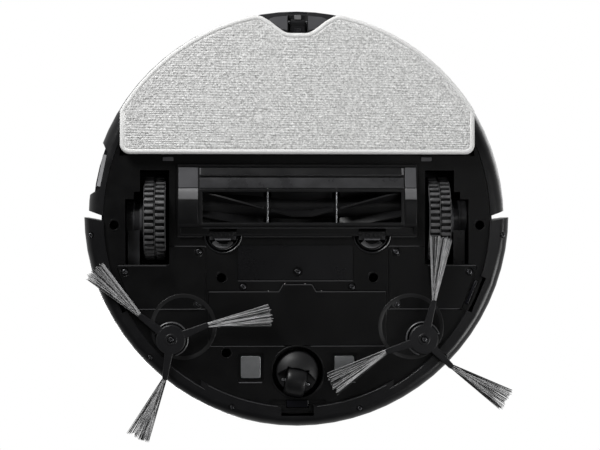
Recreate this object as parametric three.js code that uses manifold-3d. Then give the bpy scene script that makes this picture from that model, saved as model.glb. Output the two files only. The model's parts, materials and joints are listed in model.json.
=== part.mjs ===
// Robot vacuum and mop, in millimetres: +Z up, +Y forward, origin on the floor between the drive wheels.
import * as THREE from "three";
import { mergeVertices } from "three/addons/utils/BufferGeometryUtils.js";
import Module from "manifold-3d";

const wasm = await Module();
wasm.setup();

// ---------------------------------------------------------------- driving dimensions

const GAP = 0.4; // clearance between pieces that touch or slide
const FLUSH = 0.3; // least gap where one piece rests on another
const DEG = Math.PI / 180;
const FAR = 400; // reach of a cutting body
const BIG_ROUND = 72; // sides of the large round shells

const wheel = { x: 118.5, radius: 35, width: 17.4, rimRadius: 26.5, groove: 0.7, shaft: 4, chamfer: 0.8 };
wheel.side = wheel.width / 2;

const body = {
  radius: 174.5, // outer wall
  wall: 2.5,
  bottom: 11, // underside above the floor
  plate: 2.5, // thickness of the base pan
  edge: 13.8, // width of the rounded lower edge
  roundTop: 26.5, // where the rounded lower edge meets the upright wall
  deck: 2 * wheel.radius + 9, // top of the top cover, above the wheel housings
  cover: 3, // thickness of the top cover
};
body.flatRadius = body.radius - body.edge; // flat of the underside
body.plateTop = body.bottom + body.plate;
body.coverBottom = body.deck - body.cover;

const bumper = {
  radius: body.radius + 3,
  centreY: -4,
  lip: 8.7, // lowest point
  lipThick: 2,
  top: body.deck - 13,
  wall: 2.4,
  roundTop: 19,
  edge: 8, // width of its rounded lower edge
  lipDepth: 36.7, // how far the lip starts inside the outer wall, before it is cut to the pan
  ledge: 4.4, // width of the rolled top edge
  rib: 3, // how far the end ribs stay outside the pan
  jogX: 80, // half width of the front stretch of the lip, which reaches further in
  jogDepth: 4.1,
  frontGap: 2, // from the pan to the upright wall behind the bumper
};

// The slanted slots that part the bumper from the body at each side.
const slot = { x: body.radius - 13, bodyY: -2, bodySlope: 0.35, bumperY: 2.4, bumperSlope: 0.21 };

const arm = { pivotY: wheel.radius + 13, pivotZ: 32, pivotRadius: 3.5, hubRadius: 15.4, hubWidth: 13.8 };
arm.inner = wheel.x + wheel.side + 1.5; // hub face beside the wheel
arm.outer = arm.inner + arm.hubWidth;

// Stepped opening for a drive wheel: each row is a far x and the y where that width starts.
const well = { inner: wheel.x - wheel.side - 3.3, rear: -wheel.radius - 4.9, front: wheel.radius + 3 };
well.outer = arm.outer + GAP;
well.steps = [
  [arm.inner + 2, well.rear],
  [arm.inner + 7.1, -arm.hubRadius - 6.6],
  [well.outer, -arm.hubRadius - GAP],
];
const housing = { outer: arm.outer + 0.8, front: arm.pivotY + 10, wall: 2, clear: 0.2 };
housing.top = 2 * wheel.radius + 3.4;

const mop = { radius: body.radius - 2.8, halfX: 146.8, front: -52.9, corner: 6, padThick: 4, tankTop: 22.3 };
mop.tankWall = 1.8;
mop.tankBottom = mop.padThick + FLUSH;
const bay = { halfX: mop.halfX + 0.8, front: mop.front + 0.9, top: mop.tankTop + 0.9, roof: 2.5, wall: 2 };

const brush = { radius: 20, left: -79.5, right: 86.5, core: 7.5, sleeve: 10.5, rows: 6, twist: 68 };
brush.y = bay.front + bay.wall + 20.1 + brush.radius;
brush.z = brush.radius + 1.5;
brush.stub = 4; // drive end
brush.pin = 2.6; // bearing end
brush.wireGap = 3.2; // half width of the breaks in the blades where the guard's wires pass

const brushBay = { top: 2 * brush.radius + 9, wall: 2, beltSpace: 3.1 };
brushBay.rear = brush.y - brush.radius - 16.9;
brushBay.front = brush.y + brush.radius + 4.9;
brushBay.halfX = well.inner + housing.clear - housing.wall - brushBay.beltSpace; // leaves room for the belt
const duct = { halfX: 26, low: 35.5, high: 52.5, wall: 2 };

const brushMotor = { y: brushBay.front + 21, z: 33, radius: 13.5, right: -56, shaft: 2 };
const belt = { halfWidth: 1.1, brushRadius: 5.8, motorRadius: 3.6, thick: 1.3 };
belt.x = -(brushBay.halfX + brushBay.beltSpace / 2);
brushMotor.left = belt.x + belt.halfWidth + 3;

const guard = {
  halfX: 99.2,
  rear: brushBay.rear + 2.6,
  front: brushBay.front - 0.2,
  flange: 8.7, // underside of the flange
  thick: 2.2,
  low: 3.4, // lowest point of the shell
  window: { left: -78.6, right: 85.9, rear: brush.y - 13.5, front: brush.y + 13.4 },
  blockLeft: -81.7, // where the end blocks start
  blockRight: 87.7,
  grooveRear: brushBay.rear + 11.3,
  grooveFront: brushBay.rear + 13,
  wires: [-24.9, 32.1],
  wireRadius: 0.75,
  wireZ: 5,
};

const latch = { x: 62, halfWidth: 11, rear: guard.front - 3.8, front: guard.front + 3.2, travel: 2 };
Object.assign(latch, { recess: 14.6, recessY: guard.front - 1.3, recessDeep: 6 }); // half-round finger recess

const notch = { flat: 8, depthY: 18.8 - mop.radius, flankX: 24, flankY: 8.2 - mop.radius, shoulderX: 36 };
const filler = { x: 100, y: -95, radius: 7 };
const tankTab = { from: 103, to: 112, low: 5, high: 10 };
const tankLatch = { halfWidth: 6, pinZ: 9, pinY: 9.2 - mop.radius, pinRadius: 1.2, pocketHalf: 8.2 };
tankLatch.pocketTop = 15;
tankLatch.pocketFront = notch.depthY + 1.4;

const bin = { halfX: 78, front: -92, bottom: bay.top + bay.roof + 0.6, top: body.coverBottom - 2.4, wall: 2 };
bin.inlet = { halfX: duct.halfX + 1, low: duct.low - 1.5, high: duct.high + 1.5 };
duct.end = bin.front + 1;
const filter = { rear: -142, front: -106, low: 33, high: 65, thick: 7, pleats: 9, border: 3 };
const binButton = { halfX: 13, low: 56, high: 66, deep: 7 };

const fan = { x: -bin.halfX - 34, y: -82, radius: 26, low: 27, high: 60, wall: 2 };
Object.assign(fan, { impeller: 21, blades: 9, pin: 3 });

const cliff = { half: 9, front: body.flatRadius - 3.5, deep: 5.7, up: 0.4 };
cliff.sideAngle = 23;
cliff.sideHalf = 10.5;
cliff.rear = cliff.front - cliff.deep;
cliff.sideFar = body.flatRadius - 1.5;
cliff.sideNear = cliff.sideFar - 2.6;

const caster = { wall: 2, top: 34, radius: 12.4, halfWidth: 8.4, trail: 8, swivel: 11 };
caster.socket = caster.trail + caster.radius + 0.7; // clears the wheel as it swivels
caster.y = cliff.rear - caster.socket - 2.3;
const fork = { radius: 17.6, low: 4.6, round: 13, top: 30, stem: 3.8, axle: 1.5 };
fork.arch = { radius: 20, y: 16, top: 11.4 }; // opening at the front, above the wheel

const batteryCover = { halfX: 74, rear: 60.6, tabHalf: 12, tabRear: 54.7, tabSlant: 3 };
batteryCover.front = caster.y - caster.socket - GAP - 0.8;
const battery = { halfX: 70, rear: 63, front: batteryCover.front - 1.8, low: 15, high: 53 };

const sideBrush = { x: 104.8, y: 100.4, hub: 12.2, boss: 6, arm: 33, tuft: 64, hole: 9, shaft: 3 };
sideBrush.left = { arms: [-22, 98.8, 218.1], sweep: [13.7, 15, 6.8] };
sideBrush.right = { arms: [-75.2, 44.7, 162.1], sweep: [-8.9, -13, -12.1] };
const sideMotor = { radius: 14.4, low: 16, high: 44 };

const dish = { x: 94.7, y: 90.1, radius: 27, deep: 1.3 };
const sidePlate = { inner: 76.3, rear: guard.front + 8.9, front: 76.1, cornerX: 136.6, outerX: 149.6 };
sidePlate.outerY = well.front + 3;
sidePlate.edgeX = arm.outer + 4.9;

const contact = { x: 39, y: caster.y - 4.4, halfX: 8.2, halfY: 9.1, proud: 0.6 };
// The exhaust grille stands across the left wall between two angles on it.
const vent = { low: 30, high: 60, deep: 4.2, slats: 7 };
const inWall = (angle, inset) => [
  (body.radius - inset) * Math.cos(angle * DEG),
  (body.radius - inset) * Math.sin(angle * DEG),
];
vent.near = inWall(199.14, 7.36);
vent.far = inWall(188.52, 8.57);

const lidar = { y: -45, cup: 41.6, rotor: 30, neck: 26, cap: 38.5, capWall: 4, capThick: 2.6, post: 3.2 };
lidar.cupBottom = body.deck - 17;
lidar.capTop = body.deck + 17;
lidar.window = body.deck + 3.4;
const button = { x: 15, y: 62, radius: 8, proud: 0.6 };
const lens = { low: 36, high: 54, half: 36 }; // half is half the angle of the infrared window in the bumper

const board = { bottom: 60, thick: 1.6 };

// ---------------------------------------------------------------- solids

// A closed solid from a three.js geometry, whichever way its faces wind.
function solid(geometry) {
  const plain = geometry.index ? geometry.toNonIndexed() : geometry;
  const bare = new THREE.BufferGeometry().setAttribute("position", plain.getAttribute("position"));
  const merged = mergeVertices(bare, 1e-4);
  const triVerts = new Uint32Array(merged.index.array);
  const vertProperties = merged.attributes.position.array;
  const made = new wasm.Manifold(new wasm.Mesh({ numProp: 3, vertProperties, triVerts }));
  if (made.volume() >= 0) return made;
  for (let i = 0; i < triVerts.length; i += 3) {
    [triVerts[i + 1], triVerts[i + 2]] = [triVerts[i + 2], triVerts[i + 1]];
  }
  return new wasm.Manifold(new wasm.Mesh({ numProp: 3, vertProperties, triVerts }));
}

function geometryOf(manifold) {
  const mesh = manifold.getMesh();
  const positions = new Float32Array(mesh.numVert * 3);
  for (let i = 0; i < mesh.numVert; i++) {
    positions.set(mesh.vertProperties.subarray(i * mesh.numProp, i * mesh.numProp + 3), i * 3);
  }
  const indexed = new THREE.BufferGeometry();
  indexed.setAttribute("position", new THREE.BufferAttribute(positions, 3));
  indexed.setIndex(new THREE.BufferAttribute(mesh.triVerts, 1));
  const flat = indexed.toNonIndexed();
  flat.computeVertexNormals();
  return flat;
}

const box = (x0, x1, y0, y1, z0, z1) => {
  const geometry = new THREE.BoxGeometry(x1 - x0, y1 - y0, z1 - z0);
  return solid(geometry.translate((x0 + x1) / 2, (y0 + y1) / 2, (z0 + z1) / 2));
};

// Upright prism of an outline, given as [x, y] points.
const prism = (points, z0, z1) => {
  const shape = new THREE.Shape(points.map(([x, y]) => new THREE.Vector2(x, y)));
  return solid(new THREE.ExtrudeGeometry(shape, { depth: z1 - z0, bevelEnabled: false }).translate(0, 0, z0));
};

// Prism along X of an outline given as [y, z] points.
const prismX = (points, x0, x1) => {
  const shape = new THREE.Shape(points.map(([y, z]) => new THREE.Vector2(y, z)));
  const geometry = new THREE.ExtrudeGeometry(shape, { depth: x1 - x0, bevelEnabled: false });
  geometry.applyMatrix4(new THREE.Matrix4().set(0, 0, 1, x0, 1, 0, 0, 0, 0, 1, 0, 0, 0, 0, 0, 1));
  return solid(geometry);
};

// Solid of revolution about Z through (x, y), from [radius, z] points.
const revolve = (points, segments = 48, x = 0, y = 0) => {
  const profile = points.map(([r, z]) => new THREE.Vector2(r, z));
  return solid(new THREE.LatheGeometry(profile, segments).rotateX(Math.PI / 2).translate(x, y, 0));
};

const disc = (r, z0, z1, x = 0, y = 0, segments = 32) => {
  const geometry = new THREE.CylinderGeometry(r, r, z1 - z0, segments);
  return solid(geometry.rotateX(Math.PI / 2).translate(x, y, (z0 + z1) / 2));
};

const discX = (r, x0, x1, y = 0, z = 0, segments = 32) => {
  const geometry = new THREE.CylinderGeometry(r, r, x1 - x0, segments);
  return solid(geometry.rotateZ(Math.PI / 2).translate((x0 + x1) / 2, y, z));
};

// Points along an arc, from angle a0 to a1 in degrees.
const arc = (cx, cy, r, a0, a1, steps) =>
  Array.from({ length: steps + 1 }, (_, i) => {
    const a = (a0 + ((a1 - a0) * i) / steps) * DEG;
    return [cx + r * Math.cos(a), cy + r * Math.sin(a)];
  });

// Points of a quarter ellipse in a profile, from (r0, z0) flat to (r1, z1) upright.
const quarter = (r0, z0, r1, z1, steps = 6) =>
  Array.from({ length: steps + 1 }, (_, i) => {
    const a = (i / steps) * 90 * DEG;
    return [r0 + (r1 - r0) * Math.sin(a), z1 - (z1 - z0) * Math.cos(a)];
  });

const mirrorX = (points) => points.map(([x, y]) => [-x, y]).reverse();
const sided = (points, side) => (side < 0 ? mirrorX(points) : points);
const span = (side, a, b) => (side < 0 ? [-b, -a] : [a, b]); // x range on one side of the middle

const material = (color, roughness = 0.5, metalness = 0) =>
  new THREE.MeshStandardMaterial({ color, roughness, metalness });

const finishes = {
  shell: material(0x101012, 0.45),
  pan: material(0x0d0d0e, 0.5),
  rubber: material(0x1c1c1e, 0.8),
  greyPlastic: material(0x3a3a3c, 0.5),
  steel: material(0xb9bbbe, 0.25, 1),
  cloth: material(0xd9d9d8, 0.95),
  bristle: material(0x77797c, 0.6),
  glass: material(0x050507, 0.1),
  board: material(0x14401f, 0.6),
  bin: material(0x2a2c30, 0.3),
  paper: material(0xe6e6e2, 0.9),
};

const mesh = (name, manifold, finish) => {
  const made = new THREE.Mesh(geometryOf(manifold), finish);
  made.name = name;
  return made;
};

const group = (x, y, z, ...children) => {
  const made = new THREE.Group();
  made.position.set(x, y, z);
  made.add(...children);
  return made;
};

const sideName = (side) => (side < 0 ? "left" : "right");

// ---------------------------------------------------------------- outlines shared by several pieces

// Half plane behind the body's end of the slots, moved back by inset.
function behindSlots(inset) {
  const edge = (x) => slot.bodyY - slot.bodySlope * (x - slot.x) - inset;
  const points = [
    [-FAR, -FAR],
    [FAR, -FAR],
    [FAR, edge(FAR)],
    [slot.x, edge(slot.x)],
    [-slot.x, edge(slot.x)],
    [-FAR, edge(FAR)],
  ];
  return prism(points, -10, 110);
}

// Half plane ahead of the bumper's end of the slots, moved forward by inset.
function aheadOfSlots(inset) {
  const edge = (x) => slot.bumperY - slot.bumperSlope * (x - slot.x) + inset;
  const points = [
    [FAR, FAR],
    [-FAR, FAR],
    [-FAR, edge(FAR)],
    [-slot.x, edge(slot.x)],
    [slot.x, edge(slot.x)],
    [FAR, edge(FAR)],
  ];
  return prism(points, -10, 110);
}

// What the slots leave open outside the wall behind the bumper, from height z0 up, grown by inset.
function slotGaps(inset, z0) {
  const from = body.flatRadius + bumper.frontGap - inset;
  const sides = box(-FAR, -from, -FAR, FAR, z0, FAR).add(box(from, FAR, -FAR, FAR, z0, FAR));
  return sides.subtract(aheadOfSlots(inset)).subtract(behindSlots(inset));
}

// The corner recess in the left wall that holds the exhaust grille, grown by inset.
function ventRecess(inset) {
  const [nx, ny] = vent.near;
  const [fx, fy] = vent.far;
  const points = [
    [nx + inset, ny - inset * 0.8],
    [fx + inset, fy + inset * 0.8],
    [fx - 9, fy + 5 + inset],
    [fx - 30, fy + 5 + inset],
    [nx - 30, ny - 8 - inset],
    [nx - 4, ny - 8 - inset],
  ];
  return prism(points, -10, body.coverBottom - 8 + inset);
}

function wellOutline(side) {
  const [[x0, y0], [x1, y1], [x2, y2]] = well.steps;
  const points = [
    [well.inner, y0],
    [x0, y0],
    [x0, y1],
    [x1, y1],
    [x1, y2],
    [x2, y2],
    [x2, well.front],
    [well.inner, well.front],
  ];
  return sided(points, side);
}

function sidePlateOutline(side, grow) {
  const p = sidePlate;
  const points = [
    [p.inner - grow, p.rear - grow],
    [well.inner + grow, p.rear - grow],
    [well.inner + grow, well.front + GAP - grow],
    [p.edgeX, well.front + GAP - grow],
    [p.outerX + grow, p.outerY],
    [p.cornerX + grow, p.front + grow],
    [p.inner - grow, p.front + grow],
  ];
  return sided(points, side);
}

function batteryCoverOutline(grow) {
  const c = batteryCover;
  const half = [
    [c.tabHalf + grow, c.tabRear - grow],
    [c.tabHalf + c.tabSlant + grow, c.rear - grow],
    [c.halfX + grow, c.rear - grow],
    [c.halfX + grow, c.front + grow],
  ];
  return [...half, ...mirrorX(half)];
}

function roundedRect(x0, x1, y0, y1, r) {
  const steps = 2;
  return [
    ...arc(x1 - r, y0 + r, r, -90, 0, steps),
    ...arc(x1 - r, y1 - r, r, 0, 90, steps),
    ...arc(x0 + r, y1 - r, r, 90, 180, steps),
    ...arc(x0 + r, y0 + r, r, 180, 270, steps),
  ];
}

// D-shaped outline of the mop pad and tank, shrunk by inset, with the rear notch if asked.
function mopOutline(inset, notched) {
  const r = mop.radius - inset;
  const half = mop.halfX - inset;
  const front = mop.front - inset;
  const c = mop.corner;
  const side = Math.acos(half / r) / DEG;
  const shoulder = Math.acos(notch.shoulderX / r) / DEG;
  const halfNotch = [
    [notch.shoulderX - 5, -r * 0.9755],
    [notch.flankX, notch.flankY],
    [notch.flat + 4, notch.depthY - 1.3],
    [notch.flat - 2, notch.depthY],
  ];
  const rearHalf = [...arc(0, 0, r, -side, -shoulder, 9), ...halfNotch];
  const rear = notched ? [...rearHalf, ...mirrorX(rearHalf)] : arc(0, 0, r, -side, side - 180, 24);
  const corners = [...arc(c - half, front - c, c, 180, 90, 3), ...arc(half - c, front - c, c, 90, 0, 3)];
  return [...rear, ...corners].reverse();
}

// Shallow dish pressed into the underside under each side brush.
function shallowDish(side) {
  const { radius, deep } = dish;
  const z = body.bottom;
  const profile = [
    [0, z + deep],
    [radius * 0.5, z + deep * 0.8],
    [radius * 0.82, z + deep * 0.35],
    [radius, z - 0.01],
    [radius, 0],
    [0, 0],
  ];
  return revolve(profile, 40, side * dish.x, dish.y);
}

// Turns a piece drawn at the right edge of the underside to a side cliff window.
const toSideCliff = (manifold, side) =>
  manifold.rotate([0, 0, side > 0 ? cliff.sideAngle : 180 - cliff.sideAngle]);

function sideCliff(side, grow, z0, z1) {
  const half = cliff.sideHalf + grow;
  return toSideCliff(box(cliff.sideNear - grow, cliff.sideFar + grow, -half, half, z0, z1), side);
}

function frontCliff(grow, z0, z1) {
  const half = cliff.half + grow;
  return box(-half, half, cliff.rear - grow, cliff.front + grow, z0, z1);
}

// ---------------------------------------------------------------- the body

// Outer wall behind the slots: [radius, z] profiles of its outside and of the room inside it.
function rearWallProfiles() {
  const b = body;
  const flat = b.flatRadius + GAP;
  const top = b.coverBottom - GAP;
  const edge = quarter(flat, b.bottom, b.radius, b.roundTop);
  const outside = [[0, b.bottom], ...edge, [b.radius, top], [0, top]];
  const inner = b.radius - b.wall;
  const inside = [
    [0, -1],
    [flat, -1],
    ...quarter(flat, b.bottom + b.wall, inner, b.roundTop + 1),
    [inner, b.deck],
    [0, b.deck],
  ];
  return [outside, inside];
}

// The same for the stretch behind the bumper: upright wall with a shelf over the bumper.
function frontWallProfiles() {
  const b = body;
  const outer = b.flatRadius + bumper.frontGap;
  const shelf = bumper.top + GAP;
  const top = b.coverBottom - GAP;
  const z0 = b.plateTop + GAP;
  const outside = [[0, z0], [outer, z0], [outer, shelf], [b.radius, shelf], [b.radius, top], [0, top]];
  const inner = b.radius - b.wall;
  const inside = [
    [0, -1],
    [b.flatRadius + GAP, -1],
    [b.flatRadius + GAP, z0],
    [outer - b.wall, z0],
    [outer - b.wall, shelf + b.wall],
    [inner, shelf + b.wall],
    [inner, b.deck],
    [0, b.deck],
  ];
  return [outside, inside];
}

function sideRing() {
  const [rearOutside, rearInside] = rearWallProfiles();
  const [frontOutside, frontInside] = frontWallProfiles();
  let ring = revolve(rearOutside, BIG_ROUND).intersect(behindSlots(0)).add(revolve(frontOutside, BIG_ROUND));
  ring = ring.subtract(ventRecess(0));
  const rearRoom = revolve(rearInside, BIG_ROUND).intersect(behindSlots(body.wall));
  const room = rearRoom.add(revolve(frontInside, BIG_ROUND));
  const slotWalls = slotGaps(body.wall, bumper.top);
  ring = ring.subtract(room.subtract(ventRecess(body.wall)).subtract(slotWalls)).subtract(slotGaps(0, 0));
  ring = ring.subtract(box(-bay.halfX, bay.halfX, -FAR, bay.front, -1, bay.top - FLUSH));
  const binHole = bin.halfX + 0.8;
  ring = ring.subtract(box(-binHole, binHole, -FAR, bin.front - 28, bay.top - 1, bin.top + 0.8));
  const [mx, my] = [(vent.near[0] + vent.far[0]) / 2, (vent.near[1] + vent.far[1]) / 2];
  ring = ring.subtract(box(mx - 3, mx + 6, my - 10, my + 10, vent.low + 4, vent.high - 4));
  return mesh("side_ring", ring, finishes.shell);
}

function topCover() {
  const z1 = body.deck;
  const edge = body.radius - 0.6;
  const profile = [
    [0, body.coverBottom],
    [edge, body.coverBottom],
    [edge, z1 - 2],
    [edge - 0.8, z1 - 0.8],
    [edge - 2.6, z1],
    [0, z1],
  ];
  let cover = revolve(profile, BIG_ROUND).subtract(slotGaps(0, 0));
  cover = cover.subtract(disc(lidar.cup + GAP, 0, 100, 0, lidar.y, 40));
  for (const side of [-1, 1]) {
    cover = cover.subtract(disc(button.radius + GAP, 0, 100, side * button.x, button.y));
  }
  return mesh("top_cover", cover, finishes.shell);
}

// Roof and walls of the mop bay, which belong to the pan.
function mopBayWalls() {
  const z0 = body.bottom;
  const roofTop = bay.top + bay.roof;
  const side = bay.halfX + bay.wall;
  const front = bay.front + bay.wall;
  const roof = disc(body.radius - body.wall - 1.4, z0, roofTop, 0, 0, BIG_ROUND)
    .intersect(box(-side, side, -FAR, front, bay.top, roofTop));
  const wing = disc(body.flatRadius, z0, roofTop, 0, 0, BIG_ROUND);
  let walls = roof.add(box(-side, side, bay.front, front, z0, roofTop));
  for (const end of [-1, 1]) {
    const [x0, x1] = span(end, bay.halfX, side);
    walls = walls.add(wing.intersect(box(x0, x1, -FAR, bay.front, z0, roofTop)));
  }
  return walls;
}

function contactHole(side) {
  const c = contact;
  const [halfX, halfY] = [c.halfX + GAP, c.halfY + GAP];
  const x = side * c.x;
  return box(x - halfX, x + halfX, c.y - halfY, c.y + halfY, 0, body.plateTop + 1);
}

function basePan() {
  const z1 = body.plateTop + 1;
  let pan = disc(body.flatRadius, body.bottom, body.plateTop, 0, 0, BIG_ROUND);
  pan = pan.subtract(box(-bay.halfX, bay.halfX, -FAR, bay.front, 0, z1)).add(mopBayWalls());
  const guardHalf = guard.halfX + GAP;
  pan = pan.subtract(box(-guardHalf, guardHalf, guard.rear - GAP, guard.front + GAP, 0, z1));
  for (const side of [-1, 1]) {
    pan = pan.subtract(prism(wellOutline(side), 0, z1));
    pan = pan.subtract(prism(sidePlateOutline(side, GAP), 0, z1));
    pan = pan.add(latchCup(side)).subtract(latchHollow(side));
    pan = pan.subtract(disc(sideBrush.hole, 0, z1, side * sideBrush.x, sideBrush.y));
    pan = pan.subtract(shallowDish(side)).subtract(contactHole(side)).subtract(sideCliff(side, GAP, 0, z1));
  }
  pan = pan.subtract(prism(batteryCoverOutline(GAP), 0, z1));
  pan = pan.subtract(disc(caster.socket, 0, z1, 0, caster.y, 48)).subtract(frontCliff(GAP, 0, z1));
  return mesh("base_pan", pan, finishes.pan);
}

// Finger recess beside a guard latch: only the half ahead of the guard is in the pan.
function latchCup(side) {
  const roof = body.plateTop + latch.recessDeep;
  const cup = disc(latch.recess + 2, body.bottom, roof, side * latch.x, latch.recessY);
  return cup.intersect(box(-FAR, FAR, guard.front + GAP, FAR, 0, 50));
}

function latchHollow(side) {
  const roof = body.bottom + latch.recessDeep;
  const r = latch.recess;
  const profile = [[0, 0], [r, 0], [r, body.bottom + 1], [r - 5, roof], [0, roof]];
  const hollow = revolve(profile, 32, side * latch.x, latch.recessY);
  return hollow.intersect(box(-FAR, FAR, guard.front - 1, FAR, 0, 50));
}

function sidePlateMesh(side) {
  let plate = prism(sidePlateOutline(side, 0), body.bottom, body.plateTop);
  plate = plate.subtract(shallowDish(side));
  return mesh("side_plate_" + sideName(side), plate, finishes.pan);
}

function batteryParts() {
  let cover = prism(batteryCoverOutline(0), body.bottom, body.plateTop);
  for (const side of [-1, 1]) cover = cover.subtract(shallowDish(side));
  const pack = box(-battery.halfX, battery.halfX, battery.rear, battery.front, battery.low, battery.high);
  return [mesh("battery_cover", cover, finishes.pan), mesh("battery_pack", pack, finishes.greyPlastic)];
}

function chargeContact(side) {
  const c = contact;
  const outline = roundedRect(-c.halfX, c.halfX, -c.halfY, c.halfY, 1.6);
  const pad = prism(outline, body.bottom - c.proud, body.plateTop);
  const made = mesh("charge_contact_" + sideName(side), pad, finishes.steel);
  made.position.set(side * c.x, c.y, 0);
  return made;
}

function cliffWindows() {
  const z0 = body.bottom + cliff.up;
  return [
    mesh("cliff_window_front", frontCliff(0, z0, body.plateTop), finishes.glass),
    mesh("cliff_window_left", sideCliff(-1, 0, z0, body.plateTop), finishes.glass),
    mesh("cliff_window_right", sideCliff(1, 0, z0, body.plateTop), finishes.glass),
  ];
}

function exhaustGrille() {
  const [nx, ny] = vent.near;
  const [fx, fy] = vent.far;
  const length = Math.hypot(fx - nx, fy - ny) - 4;
  let grille = box(-vent.deep, 0, -length / 2, length / 2, vent.low, vent.high);
  const pitch = (length - 4) / vent.slats;
  for (let i = 0; i < vent.slats; i++) {
    const y = -length / 2 + 2 + pitch * (i + 0.5);
    const half = pitch * 0.28;
    grille = grille.subtract(box(-vent.deep - 1, 1, y - half, y + half, vent.low + 3, vent.high - 3));
  }
  const made = mesh("exhaust_grille", grille, finishes.greyPlastic);
  made.position.set((nx + fx) / 2 - FLUSH, (ny + fy) / 2, 0);
  made.rotation.z = Math.atan2(nx - fx, fy - ny);
  return made;
}

// ---------------------------------------------------------------- bumper

const aroundBumper = (points) => revolve([...points, points[0]], BIG_ROUND, 0, bumper.centreY);

// Section of the bumper: thin lip underneath, rounded edge, upright wall and rolled top edge.
function bumperSection() {
  const b = bumper;
  const flat = b.radius - b.edge;
  const lipTop = b.lip + b.lipThick;
  const inside = b.radius - b.wall;
  const lipStart = b.radius - b.lipDepth;
  const ledge = b.radius - b.ledge;
  return [
    [lipStart, b.lip],
    ...quarter(flat, b.lip, b.radius, b.roundTop),
    [b.radius, b.top - 3],
    [b.radius - 1.2, b.top - 0.8],
    [b.radius - 3, b.top],
    [ledge, b.top],
    [ledge, b.top - 2.4],
    [inside, b.top - 4.6],
    [inside, b.roundTop + 1],
    ...quarter(flat - 1, lipTop, inside, b.roundTop + 1).reverse().slice(1),
    [lipStart, lipTop],
  ];
}

// Room that the pan needs inside the lip: the lip reaches further in across the front.
function lipOpening() {
  const top = bumper.lip + bumper.lipThick + 0.5;
  const wide = disc(body.flatRadius, -1, top, 0, 0, BIG_ROUND);
  const narrow = disc(body.flatRadius - bumper.jogDepth, -1, top, 0, 0, BIG_ROUND);
  let room = wide.subtract(box(-bumper.jogX, bumper.jogX, 0, FAR, -1, top)).add(narrow);
  room = room.add(box(-cliff.half - 4.5, cliff.half + 4.5, 0, cliff.front + 7, -1, top));
  const half = cliff.sideHalf + 5;
  const notchFrom = cliff.sideNear - 16;
  for (const side of [-1, 1]) {
    room = room.add(toSideCliff(box(notchFrom, cliff.sideFar + 5, -half, half, -1, top), side));
  }
  return room;
}

// Ribs that close the two ends of the bumper.
function bumperRibs() {
  const b = bumper;
  const inner = body.flatRadius + b.rib;
  const outer = b.radius - 0.01;
  const edge = quarter(b.radius - b.edge, b.lip, outer, b.roundTop);
  const section = [[inner, b.lip], ...edge, [outer, b.top - 3], [inner, b.top - 3]];
  return aroundBumper(section).subtract(aheadOfSlots(b.wall));
}

function lensWedge(grow, z0, z1) {
  const a = (lens.half + grow) * DEG;
  const [x, y] = [FAR * Math.sin(a), bumper.centreY + FAR * Math.cos(a)];
  return prism([[0, bumper.centreY], [x, y], [-x, y]], z0, z1);
}

function bumperParts() {
  let shell = aroundBumper(bumperSection()).subtract(lipOpening());
  shell = shell.add(bumperRibs().subtract(lipOpening())).intersect(aheadOfSlots(0));
  shell = shell.subtract(lensWedge(0.12, lens.low - GAP, lens.high + GAP));
  const [r0, r1] = [bumper.radius - bumper.wall + 0.2, bumper.radius - 0.3];
  const pane = aroundBumper([[r0, lens.low], [r1, lens.low], [r1, lens.high], [r0, lens.high]]);
  return [
    mesh("bumper", shell, finishes.shell),
    mesh("bumper_lens", pane.intersect(lensWedge(0, 0, 100)), finishes.glass),
  ];
}

// ---------------------------------------------------------------- drive wheels

function wheelHousing(side) {
  const h = housing;
  const z0 = body.plateTop + FLUSH;
  const inner = well.inner + h.clear;
  const rear = well.rear - 0.3;
  const [ox0, ox1] = span(side, inner - h.wall, h.outer + h.wall);
  const [ix0, ix1] = span(side, inner, h.outer);
  let shell = box(ox0, ox1, rear - h.wall, h.front + h.wall, z0, h.top);
  shell = shell.subtract(box(ix0, ix1, rear, h.front, 0, h.top - h.wall));
  return mesh("wheel_housing_" + sideName(side), shell, finishes.pan);
}

// Swinging arm with the drive gearbox at its end; built in place round the pivot.
function wheelArm(side) {
  const [x0, x1] = span(side, arm.inner, arm.outer);
  const [bx0, bx1] = span(side, arm.inner + 3, arm.outer - 1);
  const [sx0, sx1] = span(side, wheel.x - 4, arm.inner + 1);
  const [px0, px1] = span(side, well.inner + 1.2, housing.outer - 0.6);
  const beam = [
    [4, wheel.radius - 12],
    [arm.pivotY - 6, arm.pivotZ - 8],
    [arm.pivotY + 4, arm.pivotZ - 6],
    [arm.pivotY + 5, arm.pivotZ + 4],
    [arm.pivotY - 4, arm.pivotZ + 10],
    [4, wheel.radius + 13],
  ];
  let made = discX(arm.hubRadius, x0, x1, 0, wheel.radius, 28).add(prismX(beam, bx0, bx1));
  made = made.add(discX(wheel.shaft, sx0, sx1, 0, wheel.radius, 16));
  made = made.add(discX(arm.pivotRadius, px0, px1, arm.pivotY, arm.pivotZ, 16));
  return mesh("wheel_arm_" + sideName(side), made, finishes.greyPlastic);
}

function rim(side) {
  const half = wheel.side - 0.6;
  const r = wheel.rimRadius - FLUSH;
  const boss = 9;
  const profile = [
    [0, -half],
    [boss, -half],
    [boss, 1 - half],
    [r - 3, 1 - half],
    [r - 3, -half],
    [r, -half],
    [r, half],
    [r - 3, half],
    [r - 3, half - 5],
    [boss, half - 5],
    [boss, half - 1],
    [0, half - 1],
  ];
  let made = revolve(profile, 24);
  for (let i = 0; i < 5; i++) {
    const a = i * 72 * DEG;
    made = made.subtract(disc(4.2, -FAR, FAR, 16 * Math.cos(a), 16 * Math.sin(a), 8));
  }
  made = made.rotate([0, side * -90, 0]);
  // Blind bore that takes the gearbox shaft.
  const [x0, x1] = span(side, -5, FAR);
  made = made.subtract(discX(wheel.shaft + GAP, x0, x1, 0, 0, 16));
  return mesh("rim_" + sideName(side), made, finishes.greyPlastic);
}

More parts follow.
